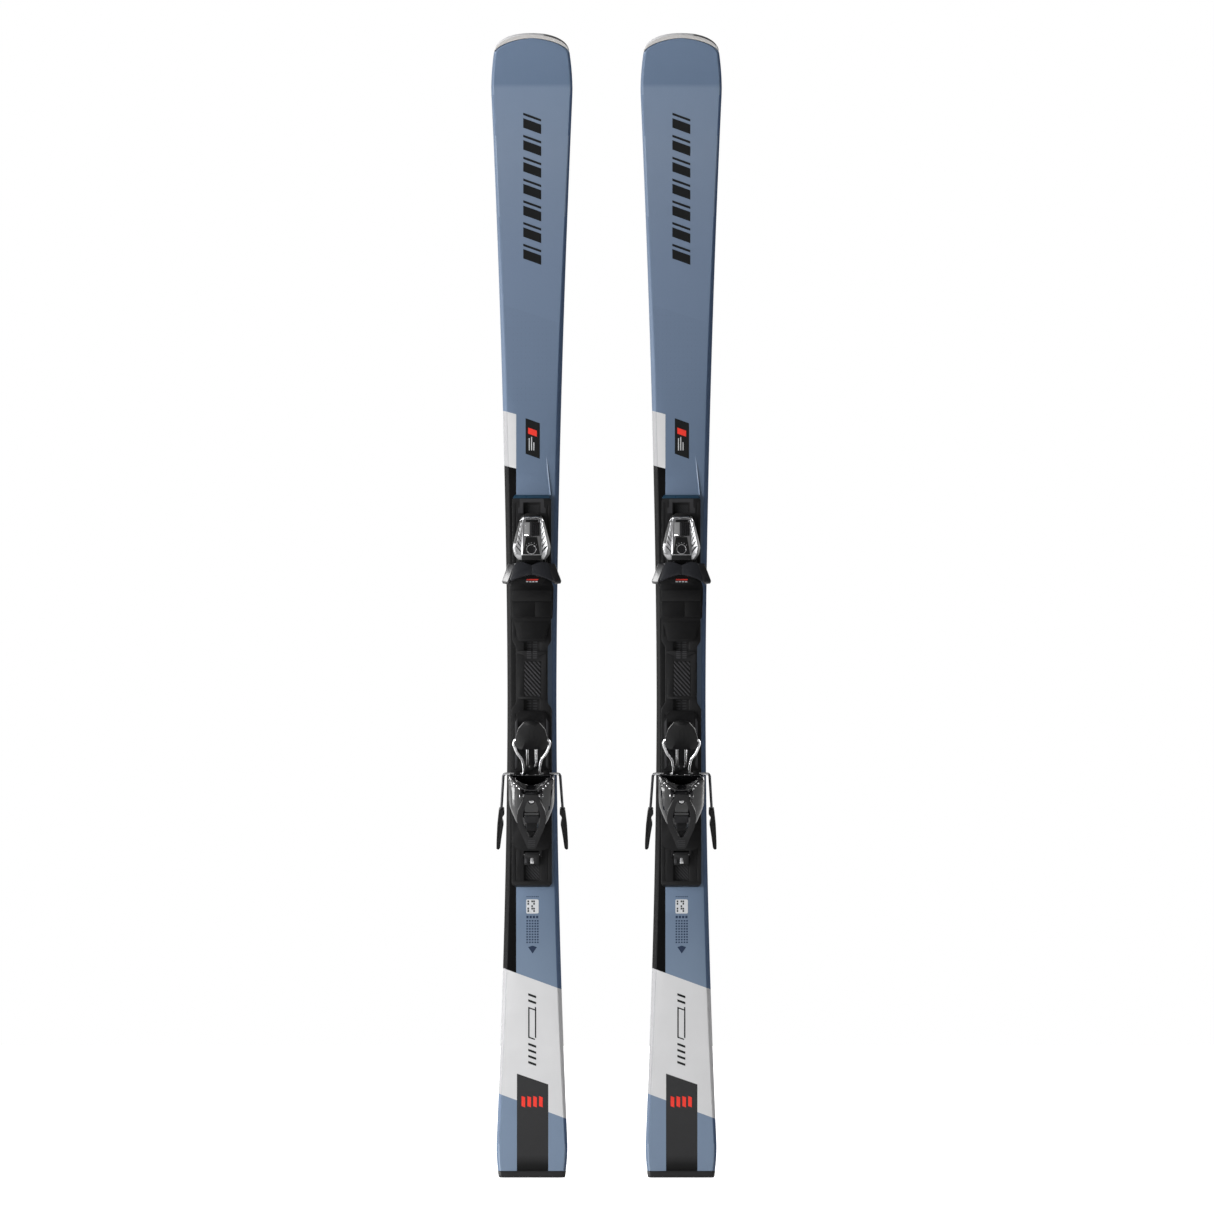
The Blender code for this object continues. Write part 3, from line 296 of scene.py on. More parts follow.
def fit(name, obj, finishes, body, turn=STILL, crisp=32, zone=None):
    """Puts a copy of obj on each ski, riding on that ski's body; zone(x, h, z) says which finish is there.

    A piece with the name of one of the ski's CAD nodes stands for that node.
    """
    bpy.context.view_layer.update()
    mesh = solid_of(obj)
    kept = obj.data
    bpy.data.objects.remove(obj)
    bpy.data.meshes.remove(kept)
    mesh.materials.clear()
    for finish in finishes if isinstance(finishes, list) else [finishes]:
        mesh.materials.append(finish)
    if zone:
        places = [(face.center.x, -face.center.y, face.center.z) for face in mesh.polygons]
        mesh.polygons.foreach_set("material_index", [finishes.index(zone(*place)) for place in places])
    mesh.shade_smooth()
    mesh.set_sharp_from_angle(angle=math.radians(crisp))
    for ski, x in SKI_X.items():
        piece = spawn(f"{ski}.{name}", mesh)
        piece.matrix_world = Matrix.Translation((x, 0, 0)) @ turn
        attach(piece, f"{ski}_{body}" if body else ski)
        if f"{ski}_{name}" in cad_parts:
            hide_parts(f"{ski}_{name}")


# ---------------------------------------------------------------- finishes


def srgb(red, green, blue):
    """A linear colour from display values of 0 to 255."""

    def linear(value):
        value /= 255
        return value / 12.92 if value <= 0.04045 else ((value + 0.055) / 1.055) ** 2.4

    return (linear(red), linear(green), linear(blue), 1.0)


def shaded(colour, factor):
    """The same colour, lighter or darker."""
    return (*(min(1.0, c * factor) for c in colour[:3]), 1.0)


class Finish:
    """One procedural finish: a principled shader with colour, gloss and relief that vary over it."""

    def __init__(self, name, rough, metal=0.0, coat=0.0, coat_rough=0.08, specular=0.5):
        self.made = bpy.data.materials.new(name)
        self.made.use_nodes = True
        self.tree = self.made.node_tree
        self.shader = self.tree.nodes["Principled BSDF"]
        self.rough = rough
        self.shader.inputs["Metallic"].default_value = metal
        self.shader.inputs["Coat Weight"].default_value = coat
        self.shader.inputs["Coat Roughness"].default_value = coat_rough
        self.shader.inputs["Specular IOR Level"].default_value = specular
        self.where = self.node("ShaderNodeTexCoord").outputs["Object"]

    def node(self, kind, **settings):
        made = self.tree.nodes.new(kind)
        for key, value in settings.items():
            setattr(made, key, value)
        return made

    def link(self, source, target):
        self.tree.links.new(source, target)

    def place(self, axis):
        """A point's place along one axis of the piece, in metres."""
        made = self.node("ShaderNodeSeparateXYZ")
        self.link(self.where, made.inputs["Vector"])
        return made.outputs[axis]

    def stretched(self, scale):
        """The object's coordinates, scaled along (x, y, z)."""
        mapping = self.node("ShaderNodeMapping")
        mapping.inputs["Scale"].default_value = scale
        self.link(self.where, mapping.inputs["Vector"])
        return mapping.outputs["Vector"]

    def noise(self, scale, detail=3.0, stretch=(1, 1, 1)):
        """Fine random variation, drawn out along the axes that are scaled down."""
        made = self.node("ShaderNodeTexNoise")
        made.inputs["Scale"].default_value = scale
        made.inputs["Detail"].default_value = detail
        self.link(self.stretched(stretch), made.inputs["Vector"])
        return made.outputs["Fac"]

    def wave(self, pitch, direction, profile="SIN"):
        """Bands of one pitch in metres along an axis of the piece."""
        made = self.node("ShaderNodeTexWave", bands_direction=direction, wave_profile=profile)
        made.inputs["Scale"].default_value = math.pi / (10 * pitch)
        self.link(self.where, made.inputs["Vector"])
        return made.outputs["Fac"]

    def maths(self, operation, first, second):
        made = self.node("ShaderNodeMath", operation=operation)
        for socket, value in zip(made.inputs, (first, second)):
            if isinstance(value, (int, float)):
                socket.default_value = value
            else:
                self.link(value, socket)
        return made.outputs["Value"]

    def mix(self, share, first, second):
        made = self.node("ShaderNodeMix", data_type="RGBA")
        sockets = [made.inputs[i] for i in (0, 6, 7)]
        for socket, value in zip(sockets, (share, first, second)):
            if isinstance(value, (tuple, float)):
                socket.default_value = value
            else:
                self.link(value, socket)
        return made.outputs[2]

    def colour(self, value, spread=0.12, scale=45.0, stretch=(1, 1, 1)):
        """A colour that drifts a little either way over the surface."""
        drift = self.noise(scale, 4.0, stretch)
        if isinstance(value, tuple):
            value = self.mix(drift, shaded(value, 1 - spread), shaded(value, 1 + spread))
        else:
            value = self.mix(self.maths("MULTIPLY", drift, spread), value, (0.0, 0.0, 0.0, 1.0))
        self.link(value, self.shader.inputs["Base Color"])
        return self

    def gloss(self, spread=0.08, scale=120.0, stretch=(1, 1, 1)):
        """A roughness that varies by spread either way."""
        ranged = self.node("ShaderNodeMapRange")
        ranged.inputs["To Min"].default_value = max(0.02, self.rough - spread)
        ranged.inputs["To Max"].default_value = self.rough + spread
        self.link(self.noise(scale, 5.0, stretch), ranged.inputs["Value"])
        self.link(ranged.outputs["Result"], self.shader.inputs["Roughness"])
        return self

    def relief(self, height, depth, strength=1.0):
        bump = self.node("ShaderNodeBump")
        bump.inputs["Distance"].default_value = depth
        bump.inputs["Strength"].default_value = strength
        self.link(height, bump.inputs["Height"])
        self.link(bump.outputs["Normal"], self.shader.inputs["Normal"])
        return self

    def ramp(self, stops, share):
        """Colours that run from one (place, colour) stop to the next."""
        made = self.node("ShaderNodeValToRGB")
        line = made.color_ramp
        while len(line.elements) < len(stops):
            line.elements.new(0.5)
        for element, (place, colour) in zip(line.elements, stops):
            element.position = place
            element.color = colour
        self.link(share, made.inputs["Fac"])
        return made.outputs["Color"]


def moulded(name, colour, rough, grain=0.0001, pitch=900.0, coat=0.0, spread=0.15, specular=0.3):
    """Moulded plastic with a fine spark-eroded grain."""
    made = Finish(name, rough, coat=coat, specular=specular).colour(colour, spread).gloss()
    return made.relief(made.noise(pitch, 3.0), grain).made


def metal(name, colour, rough, stretch=(1, 1, 1), grain=0.00003, spread=0.1):
    made = Finish(name, rough, metal=1.0).colour(colour, spread, 90.0, stretch)
    made.gloss(rough * 0.4, 260.0, stretch)
    return made.relief(made.noise(1400.0, 2.0, stretch), grain).made


def woven(made):
    """Printed ink under the clear topsheet, also on the darker copies that are painted shade: a woven ground
    shows faintly through.
    """
    weave = made.maths("MULTIPLY", made.wave(0.0011, "X"), made.wave(0.0011, "Z"))
    return made.gloss(0.05).relief(weave, 0.00004).made


# makes the printed colours, and the darker copies on the bevels that are painted shade
def print_and_painted_shade(name, colour, rough=0.34, coat=0.1, specular=0.3):
    made = Finish(name, rough, coat=coat, coat_rough=0.16, specular=specular)
    return woven(made.colour(colour, 0.05, 30.0))


def topsheet_panel():
    """The dark panel at the tail, which fades to black at its foot."""
    made = Finish("topsheet_panel", 0.4, coat=0.05, coat_rough=0.16, specular=0.3)
    stops = [(0.016 / LENGTH, srgb(2, 2, 2)), (0.032 / LENGTH, srgb(47, 47, 48))]
    made.colour(made.ramp(stops, made.maths("DIVIDE", made.place("Z"), LENGTH)), 0.05, 30.0)
    return woven(made)


def topsheet_blue():
    """The ski's slate blue: darker on the shovel as painted shade where it curves up, palest beside it and at
    the tail.
    """
    made = Finish("topsheet_blue", 0.4, coat=0.08, coat_rough=0.2, specular=0.28)
    across, up = made.place("X"), made.place("Z")
    share = made.maths("DIVIDE", up, LENGTH)
    stops = [
        (0.03, srgb(121, 138, 160)),
        (0.19, srgb(114, 131, 152)),
        (0.27, srgb(104, 122, 146)),
        (0.66, srgb(103, 120, 143)),
        (0.8, srgb(110, 126, 149)),
        (0.9, srgb(118, 133, 154)),
        (1.6235 / LENGTH, srgb(114, 130, 152)),
        # from here to the tip the blue is darker: painted shade on the upturned shovel
        (1.6245 / LENGTH, srgb(97, 115, 139)),
        (1.00, srgb(99, 117, 141)),
    ]
    # below a slanting line the blue is a shade deeper, and a field of fine dots starts there
    deeper = made.maths("LESS_THAN", made.maths("ADD", up, made.maths("MULTIPLY", across, 0.33)), 1.285)
    field = made.maths("MULTIPLY", deeper, made.maths("GREATER_THAN", up, 1.15))
    dots = made.maths("MULTIPLY", made.wave(0.0062, "X"), made.wave(0.009, "Z"))
    dots = made.maths("MULTIPLY", made.maths("GREATER_THAN", dots, 0.9), field)
    shade = made.maths("MULTIPLY", made.maths("ADD", deeper, made.maths("MULTIPLY", dots, 2.0)), 0.035)
    blue = made.mix(shade, made.ramp(stops, share), (0.0, 0.0, 0.0, 1.0))
    return woven(made.colour(blue, 0.06, 900.0, (1, 1, 0.25)))


def base_sintered():
    """Waxed polyethylene with the fine lengthwise structure that is ground into it."""
    made = Finish("base_sintered", 0.42, specular=0.4).colour(srgb(30, 30, 33), 0.25, 60.0, (1, 1, 0.08))
    made.gloss(0.1, 300.0, (1, 1, 0.05))
    return made.relief(made.wave(0.0009, "X", "TRI"), 0.00008).made


def laminated_wood():
    made = Finish("laminated_wood", 0.65)
    strips = made.ramp(
        [(0.0, (0.42, 0.27, 0.13, 1.0)), (1.0, (0.58, 0.42, 0.24, 1.0))], made.wave(0.012, "X", "SAW")
    )
    made.colour(strips, 0.35, 300.0, (1, 1, 0.04))
    made.gloss(0.08)
    return made.relief(made.noise(500.0, 4.0, (1, 1, 0.06)), 0.0001).made


LENGTHWISE = (1, 1, 0.03)  # streaks drawn out along the ski
BLUE = topsheet_blue()
WHITE = print_and_painted_shade("topsheet_white", srgb(206, 206, 207))
# navy print on the blue's right bevel, which also serves as painted shade of the binding beside the plate
NAVY_PRINT_AND_SHADE = print_and_painted_shade("topsheet_navy_print_and_painted_shade", srgb(84, 104, 134))
# painted shade: a darker copy of the blue for the left bevel, toned down where the key light falls strongest
BLUE_LEFT_SHADE = print_and_painted_shade("topsheet_blue_painted_shade_left", srgb(90, 107, 130), 0.44, 0.0, 0.2)
# painted shade: a darker copy of the white for the left bevel, toned down where the key light falls strongest
WHITE_LEFT_SHADE = print_and_painted_shade("topsheet_white_painted_shade_left", srgb(158, 158, 160), 0.44, 0.0, 0.2)
BLACK = print_and_painted_shade("topsheet_black", srgb(8, 8, 9), 0.4, 0.0, 0.08)
PANEL = topsheet_panel()
INK = print_and_painted_shade("graphic_dark", srgb(22, 23, 24), 0.34, 0.05)
DEEP = print_and_painted_shade("graphic_navy", srgb(38, 50, 74), 0.34, 0.05)
RED = print_and_painted_shade("graphic_red", srgb(232, 60, 48), 0.34, 0.1)
PALE = print_and_painted_shade("graphic_pale", srgb(200, 202, 205), 0.34, 0.1)
BASE = base_sintered()
WOOD = laminated_wood()
EDGE = metal("edge_steel", (0.56, 0.57, 0.59, 1.0), 0.3, LENGTHWISE)
WALL = moulded("sidewall", srgb(34, 38, 48), 0.38, 0.00006, 1200.0)
TIP = moulded("tip_guard", srgb(188, 186, 184), 0.26, 0.00003, 700.0, coat=0.3, spread=0.03)
TAIL = moulded("tail_guard", srgb(38, 38, 39), 0.45)
PLATE = moulded("plate_plastic", srgb(22, 22, 23), 0.42)
TEAL = moulded("plate_end", srgb(34, 66, 88), 0.3, 0.00005, coat=0.3)
FRAME = moulded("carriage_plastic", srgb(14, 14, 15), 0.42, specular=0.24)
INNER = moulded("inner_plastic", srgb(10, 10, 11), 0.55)
GREY = moulded("grey_plastic", srgb(50, 50, 52), 0.44)
PAD = moulded("pad_plastic", srgb(13, 13, 14), 0.34, 0.00004, 500.0)
WING = moulded("wing_plastic", srgb(24, 24, 27), 0.31, 0.00004, 1400.0, coat=0.2, specular=0.7)
SMOKED = metal("smoked_chrome", (0.47, 0.47, 0.48, 1.0), 0.32, (1, 1, 0.4), 0.00006, 0.35)
CHROME = metal("chrome", (0.8, 0.8, 0.81, 1.0), 0.12)
STEEL = metal("wire_steel", (0.9, 0.9, 0.91, 1.0), 0.27, LENGTHWISE)
SPRING = metal("spring_steel", (0.34, 0.35, 0.37, 1.0), 0.34)
GLOSS = moulded("cup_plastic", srgb(16, 16, 18), 0.13, 0.00001, 300.0, coat=0.8, specular=0.6)
ROOF = moulded("roof_plastic", srgb(30, 31, 35), 0.3, 0.0001, 1100.0, coat=0.2)
SHADE = moulded("housing_plastic", srgb(12, 12, 14), 0.2, 0.00002, 900.0, coat=0.4)
DARK = metal("dark_steel", (0.07, 0.07, 0.075, 1.0), 0.26, LENGTHWISE)
LEVER = moulded("lever_plastic", srgb(27, 27, 28), 0.46)
CLAW = moulded("claw_plastic", srgb(14, 14, 15), 0.4)


# ---------------------------------------------------------------- the ski's lines


def blend(t):
    """Eases from 0 to 1 as t does."""
    t = min(1.0, max(0.0, t))
    return t * t * (3 - 2 * t)


def half_width(z):
    """Half the ski's width: a rounded shoulder, two sidecut curves and a drawn-in tail."""
    waist = WAIST_WIDTH / 2
    if z >= TIP_WIDEST_Z:
        share = (z - TIP_WIDEST_Z) / (SHOULDER_Z - TIP_WIDEST_Z)
        return TIP_WIDTH / 2 - (TIP_WIDTH / 2 - SHOULDER_HALF) * share**2
    if z >= WAIST_Z:
        share = (z - WAIST_Z) / (TIP_WIDEST_Z - WAIST_Z)
        return waist + (TIP_WIDTH / 2 - waist) * share**TIP_SIDECUT
    if z >= TAIL_WIDEST_Z:
        share = (WAIST_Z - z) / (WAIST_Z - TAIL_WIDEST_Z)
        return waist + (TAIL_WIDTH / 2 - waist) * share**TAIL_SIDECUT
    share = (TAIL_WIDEST_Z - z) / TAIL_WIDEST_Z
    return TAIL_WIDTH / 2 - (TAIL_WIDTH / 2 - TAIL_END_HALF) * share**2


def tip_arc(high, angles_deg, power=TIP_ARC_POWER):
    """(z, half width) on the rounded tip of that height, from the shoulder up."""
    out = []
    for angle in map(math.radians, angles_deg):
        rise = math.sin(angle) ** (2 / power)
        across = math.cos(angle) ** (2 / power)
        out.append((SHOULDER_Z + high * rise, SHOULDER_HALF * across))
    return out


def base_height(z):
    """Height of the running base: camber between the contact lines, lifted tip and tail."""
    if z > CONTACT_FRONT_Z:
        share = (z - CONTACT_FRONT_Z) / (LENGTH - CONTACT_FRONT_Z)
        return TIP_LIFT * share**TIP_LIFT_POWER
    if z < CONTACT_REAR_Z:
        return TAIL_LIFT * ((CONTACT_REAR_Z - z) / CONTACT_REAR_Z) ** 2
    middle = (CONTACT_REAR_Z + CONTACT_FRONT_Z) / 2
    share = (z - middle) / (CONTACT_FRONT_Z - middle)
    return CAMBER * (1 - share**2) ** 2


def thickness(z):
    """The ski's thickness; under the binding the deck is level, so the camber is taken out."""
    full = DECK_H - base_height(min(max(z, PLATE_REAR_Z), PLATE_FRONT_Z))
    if z > PLATE_FRONT_Z:
        run = blend((z - PLATE_FRONT_Z) / (CONTACT_FRONT_Z + TIP_TAPER_PAST - PLATE_FRONT_Z))
        return full + (TIP_THICK - full) * run
    if z < PLATE_REAR_Z:
        return full + (TAIL_THICK - full) * blend((PLATE_REAR_Z - z) / PLATE_REAR_Z)
    return DECK_H - base_height(z)


def side_height(z):
    return thickness(z) * SIDE_SHARE


def spine(z):
    """How far the middle stands proud: 1 along the plate, easing to 0 ahead of it and behind."""
    past = max(z - PLATE_FRONT_Z, PLATE_REAR_Z - z, 0.0)
    return 1 - blend(past / SPINE_RUNOUT)


def ledge_height(z):
    """Height over the base where the topsheet's ledge ends and its bevel starts."""
    return thickness(z) - SPINE_HIGH * spine(z) - CROWN


def spread(low, high, step):
    """Even steps from low to high, of about the size asked for."""
    count = max(1, round((high - low) / step))
    return [low + (high - low) * i / count for i in range(count + 1)]


TAIL_BODY_Z = TAIL_GUARD_DEEP + GAP
TIP_HIGH = LENGTH - SHOULDER_Z
SIDE_ZS = spread(TAIL_BODY_Z, SHOULDER_Z, 0.01)
TIP_ANGLES = [5 + 82 * (i / 27) for i in range(28)]
BODY = [(z, half_width(z)) for z in SIDE_ZS]
BODY += tip_arc(TIP_HIGH - TIP_GUARD_DEEP - GAP, TIP_ANGLES, GUARD_ARC_POWER)


def bevel_wide(z):
    """The side bevel narrows towards the tip and the tail."""
    past = max(z - BEVEL_FRONT_Z, BEVEL_REAR_Z - z, 0.0)
    return BEVEL_WIDE - BEVEL_NARROWING * blend(past / BEVEL_RUNOUT)


def skin_edges(z, w):
    """Half widths where the topsheet's flat and its ledge end."""
    ledge = max(w - bevel_wide(z), w * 0.45)
    flat = ledge * 0.8 + (min(SPINE_HALF, ledge * 0.8) - ledge * 0.8) * spine(z)
    return flat, ledge


def skin_height(x, z):
    """Height of the ski's top surface over the base plane, short of the tip."""
    w = half_width(z)
    flat, ledge = skin_edges(z, w)
    across, base = abs(x), base_height(z)
    top, ledge_h, side = thickness(z), ledge_height(z), side_height(z)
    if across <= flat:
        return base + top
    if across <= ledge:
        return base + top + (ledge_h - top) * (across - flat) / (ledge - flat)
    return base + ledge_h + (side - ledge_h) * (across - ledge) / (w - ledge)


# ---------------------------------------------------------------- ski body


def symmetric(right, z):
    """A ring at z from the (x, h) points of its right half."""
    return [*((x, h, z) for x, h in right), *((-x, h, z) for x, h in reversed(right))]


def build_base():
    """The running base, let in between the steel edges."""
    rings = []
    for z, w in BODY:
        b, half = base_height(z), w - EDGE_WIDE - GAP
        rings.append(symmetric([(half, b), (half, b + BASE_THICK)], z))
    fit("running_base", loft(rings), BASE, "")


def build_core():
    """The wood core, under the topsheet and between the sidewalls."""
    rings = []
    for z, w in BODY:
        b = base_height(z)
        low, shoulder = b + BASE_THICK + GAP, b + side_height(z) - GAP
        top = b + ledge_height(z) - SKIN_THICK - GAP
        half = w - EDGE_WIDE - SIDEWALL_WIDE - GAP
        ledge = max(half - BEVEL_WIDE * 0.55, half * 0.5)
        rings.append(symmetric([(half, low), (half, shoulder), (ledge, top)], z))
    fit("core", loft(rings), WOOD, "")


def side_strip(side, points_at):
    """A strip along one side: points_at gives (set in from the side, h above the base) at z."""
    rings = []
    for z in SIDE_ZS:
        b, w = base_height(z), half_width(z)
        rings.append([(side * (w - inset), b + h, z) for inset, h in points_at(z)])
    return loft(rings)


def edge_section(_):
    return [(EDGE_WIDE, 0.0), (0.0003, 0.0), (0.0, 0.0003), (0.0, EDGE_HIGH), (EDGE_WIDE, EDGE_HIGH)]


def wall_section(z):
    low, high, inner = EDGE_HIGH + GAP, side_height(z) - GAP, EDGE_WIDE + SIDEWALL_WIDE - GAP
    ridge = low + (high - low) * 0.45
    outer = [(0.0004, low), (0.0003, ridge), (0.0006, ridge + 0.0003), (0.0009, high)]
    return [(inner, low), *outer, (inner, high)]


# the printed zones end on slanting lines z = start + slope * x
WHITE_TOP, WHITE_END = (1.1295, -0.269), (1.0489, -0.259)
TAIL_TOP, TAIL_END, PANEL_TOP = (0.296, -0.365), (0.1062, -0.372), (0.1467, -0.347)
STRIPE_X, PANEL_X = -0.0234, (-0.0224, 0.0243)


def above(line, x, z):
    return z > line[0] + line[1] * x


def print_and_shade_zone(x, _, z):
    """The topsheet's finish; the blue and the white are deeper on the side bevels: painted shade on the left
    bevels, and on the blue's right bevel a navy print that is also painted shade.
    """
    if PANEL_X[0] < x < PANEL_X[1] and not above(PANEL_TOP, x, z):
        return PANEL
    ledge = skin_edges(z, half_width(z))[1] if z < SHOULDER_Z else 1.0
    # painted shade on the bevels: darker copies on the left, navy print and painted shade on the right
    blue = BLUE_LEFT_SHADE if x < -ledge else NAVY_PRINT_AND_SHADE if x > ledge else BLUE
    white = WHITE_LEFT_SHADE if x < -ledge else WHITE
    if not above(TAIL_END, x, z):
        return blue
    if not above(TAIL_TOP, x, z):
        return white
    if x > STRIPE_X or above(WHITE_TOP, x, z):
        return blue
    return white if above(WHITE_END, x, z) else BLACK


def split(bm, point, normal, low, high):
    """Cuts the faces between two heights along a plane."""
    faces = [f for f in bm.faces if low < f.calc_center_median().z < high]
    edges = {e for f in faces for e in f.edges}
    verts = {v for f in faces for v in f.verts}
    geom = [*verts, *edges, *faces]
    bmesh.ops.bisect_plane(bm, geom=geom, dist=1e-7, plane_co=point, plane_no=normal)


def build_topsheet():
    """The bevelled cap, cut along the lines where its print changes."""
    rings = []
    for z, w in BODY:
        b, side = base_height(z), side_height(z)
        top, ledge_h = b + thickness(z), b + ledge_height(z)
        flat, ledge = skin_edges(z, w)
        fall = (ledge_h - b - side) / (w - ledge)
        soft, lip = min(0.0007, ledge * 0.1), min(0.0004, w * 0.05)
        right = [(flat, top), (ledge - soft, ledge_h + 0.00004), (ledge + soft, ledge_h - soft * fall)]
        right += [(w - lip, b + side + lip * fall), (w, b + side)]
        within, under = w - max(EDGE_WIDE, SKIN_THICK), ledge_h - SKIN_THICK
        inner = [(-within, b + side), (-ledge * 0.97, under), (ledge * 0.97, under), (within, b + side)]
        whole = [*((x, h, z) for x, h in reversed(right)), *((-x, h, z) for x, h in right)]
        rings.append(whole + [(x, h, z) for x, h in inner])
    sheet = loft(rings)
    bm = bmesh.new()
    bm.from_mesh(sheet.data)
    for start, slope in (WHITE_TOP, WHITE_END, TAIL_TOP, TAIL_END, PANEL_TOP):
        split(bm, at(0, 0, start), (-slope, 0, 1), start - 0.06, start + 0.06)
    split(bm, at(STRIPE_X, 0, 0), (1, 0, 0), 0.24, 1.18)
    for x in PANEL_X:
        split(bm, at(x, 0, 0), (1, 0, 0), 0.0, 0.18)
    bm.to_mesh(sheet.data)
    bm.free()
    finishes = [BLUE, WHITE, BLACK, PANEL, NAVY_PRINT_AND_SHADE, BLUE_LEFT_SHADE, WHITE_LEFT_SHADE]
    fit("topsheet", sheet, finishes, "", crisp=11, zone=print_and_shade_zone)


def tip_rim(x, _, z):
    """The tip guard's flat is pale; its outer bevel is white, a painted highlight, and smoked chrome on the
    right as painted shade.
    """
    outer = SHOULDER_Z + TIP_HIGH * (1 - (abs(x) / SHOULDER_HALF) ** TIP_ARC_POWER) ** (1 / TIP_ARC_POWER)
    if outer - z > 0.0024:
        return TIP
    # painted shade: the outer bevel's right part is dark smoked chrome; the white elsewhere is a painted
    # highlight
    return SMOKED if 0.018 < x < 0.051 else WHITE


def build_guards():
    """The pale crescent let into the tip, and the dark tail guard."""
    rings = []
    reach, steps = 0.0556, 80
    for i in range(steps + 1):
        x = -reach + 2 * reach * i / steps
        outer, inner = (
            SHOULDER_Z + high * (1 - (abs(x) / SHOULDER_HALF) ** power) ** (1 / power)
            for high, power in ((TIP_HIGH, TIP_ARC_POWER), (TIP_HIGH - TIP_GUARD_DEEP, GUARD_ARC_POWER))
        )
        ring = []
        for share, rise in ((0, 0), (1, 0), (1, 0.35), (0.93, 0.62), (0.62, 1.02), (0.52, 1.05), (0, 1.06)):
            z = inner + (outer - inner) * share
            ring.append((x, base_height(z) + thickness(z) * rise, z))
        rings.append(ring)
    guard = loft(rings)
    fit("tip_guard", guard, [TIP, WHITE, SMOKED], "", crisp=30, zone=tip_rim)
    rings = []
    for z in (0.0, 0.0006, 0.0022, 0.005, TAIL_GUARD_DEEP):
        pinch = 0.0007 * (1 - min(1.0, z / 0.0022)) ** 2
        w, b = half_width(z) + 0.0004 - pinch, base_height(z)
        top, side = b + thickness(z) + 0.0005 - pinch * 0.6, b + side_height(z)
        right = [(w, b), (w, side), (w - bevel_wide(z), top), (w - bevel_wide(z) - 0.002, top + 0.0001)]
        rings.append(symmetric(right, z))
    fit("tail_guard", soften(loft(rings), 0.0006), TAIL, "")


FILM_HIGH, FILM_DEEP, FILM_LAYER = 0.00012, 0.0001, 0.00016


def decal(name, shapes, finish, layer=0):
    """Flat shapes of (x, z) in mm, laid on the topsheet as a thin film; layer 1 lies on layer 0."""
    bm = bmesh.new()
    for shape in shapes:
        bm.faces.new([bm.verts.new((x * MM, 0, z * MM)) for x, z in shape])
    low, high = min(v.co.z for v in bm.verts), max(v.co.z for v in bm.verts)
    for z in spread(low, high, 0.012)[1:-1]:
        split(bm, (0, 0, z), (0, 0, 1), -1, 2)
    solid = bmesh.ops.extrude_face_region(bm, geom=list(bm.faces))
    upper = {item for item in solid["geom"] if isinstance(item, bmesh.types.BMVert)}
    for vert in bm.verts:
        lift = FILM_LAYER * layer + (FILM_HIGH if vert in upper else -FILM_DEEP)
        vert.co.y = -(skin_height(vert.co.x, vert.co.z) + lift)
    fit(name, from_bmesh(bm), finish, "")


def slanted(x, z, lean=0.36):
    """A four-sided shape between two x and two z that falls to the right by lean."""
    fall = lean * (x[1] - x[0])
    return [(x[0], z[0]), (x[1], z[0] - fall), (x[1], z[1] - fall), (x[0], z[1])]


def upright(x, z):
    return slanted(x, z, 0.0)


def build_graphics():
    """Plain slanting bars and frames where the real pair carries lettering."""
    rungs = []
    for i in range(7):
        z = 1368 + 32.4 * i
        rungs += [slanted((-13.0, 13.7), (z + low, z + high)) for low, high in ((0, 14), (18.5, 22))]
    decal("graphic_rungs", rungs, INK)
    decal("graphic_badge", [slanted((-9.4, 11.7), (1077, 1130))], INK)
    lines = [upright((x, x + 1.3), (1082, 1082 + long)) for x, long in ((-4.6, 18), (-1.2, 20), (2.2, 12))]
    decal("graphic_badge_lines", lines, PALE, 1)
    decal("graphic_badge_bar", [slanted((-5.6, 7.4), (1107, 1116))], RED, 1)
    strokes = [slanted((-5.6, 6.3), (z, z + 3.4)) for z in (170, 179, 188, 197, 262, 271)]
    strokes += [slanted((x, x + 1.9), (208, 254)) for x in (-5.6, 4.4)]
    strokes += [slanted((-3.7, 4.4), (z, z + 2.0)) for z in (207.3, 251.3)]
    decal("graphic_tail_frames", strokes, INK)
    bars = [slanted((x, x + 5.4), (106, 121)) for x in (-15.5, -6.8, 1.9, 10.6)]
    decal("graphic_tail_bars", bars, RED, 1)
    plaque = turned_corners([(-8.5, 393), (10, 393), (10, 414), (-8.5, 414)], 2.2)
    decal("graphic_plaque", [plaque], PALE)
    cells = [
        upright((-6.6 + 2.9 * i, -4.4 + 2.9 * i), (395.4 + 3.6 * j, 398.0 + 3.6 * j))
        for i in range(5)
        for j in range(5)
        if (i * i + 2 * j + i * j) % 3 != 1
    ]
    decal("graphic_plaque_cells", cells, INK, 1)
    columns, rows = (-8.2, -4.2, -0.2, 3.8, 7.6), spread(349, 381, 4.0)
    dashes = [upright((x, x + 2.3), (z, z + 2.2)) for x in columns for z in rows]
    dashes += [upright((x, x + 3.2), (386.0, 389.6)) for x in (-8.2, -3.4, 1.4, 6.2)]
    dashes += [upright((x, x + 1.6), (417.4, 418.8)) for x in (-8.0, -5.2, -2.4, 0.4, 3.2, 6.0, 8.4)]
    dashes.append([(-5.6, 343.0), (0.9, 345.2), (7.4, 343.0), (0.9, 333.5)])
    decal("graphic_small_print", dashes, DEEP)


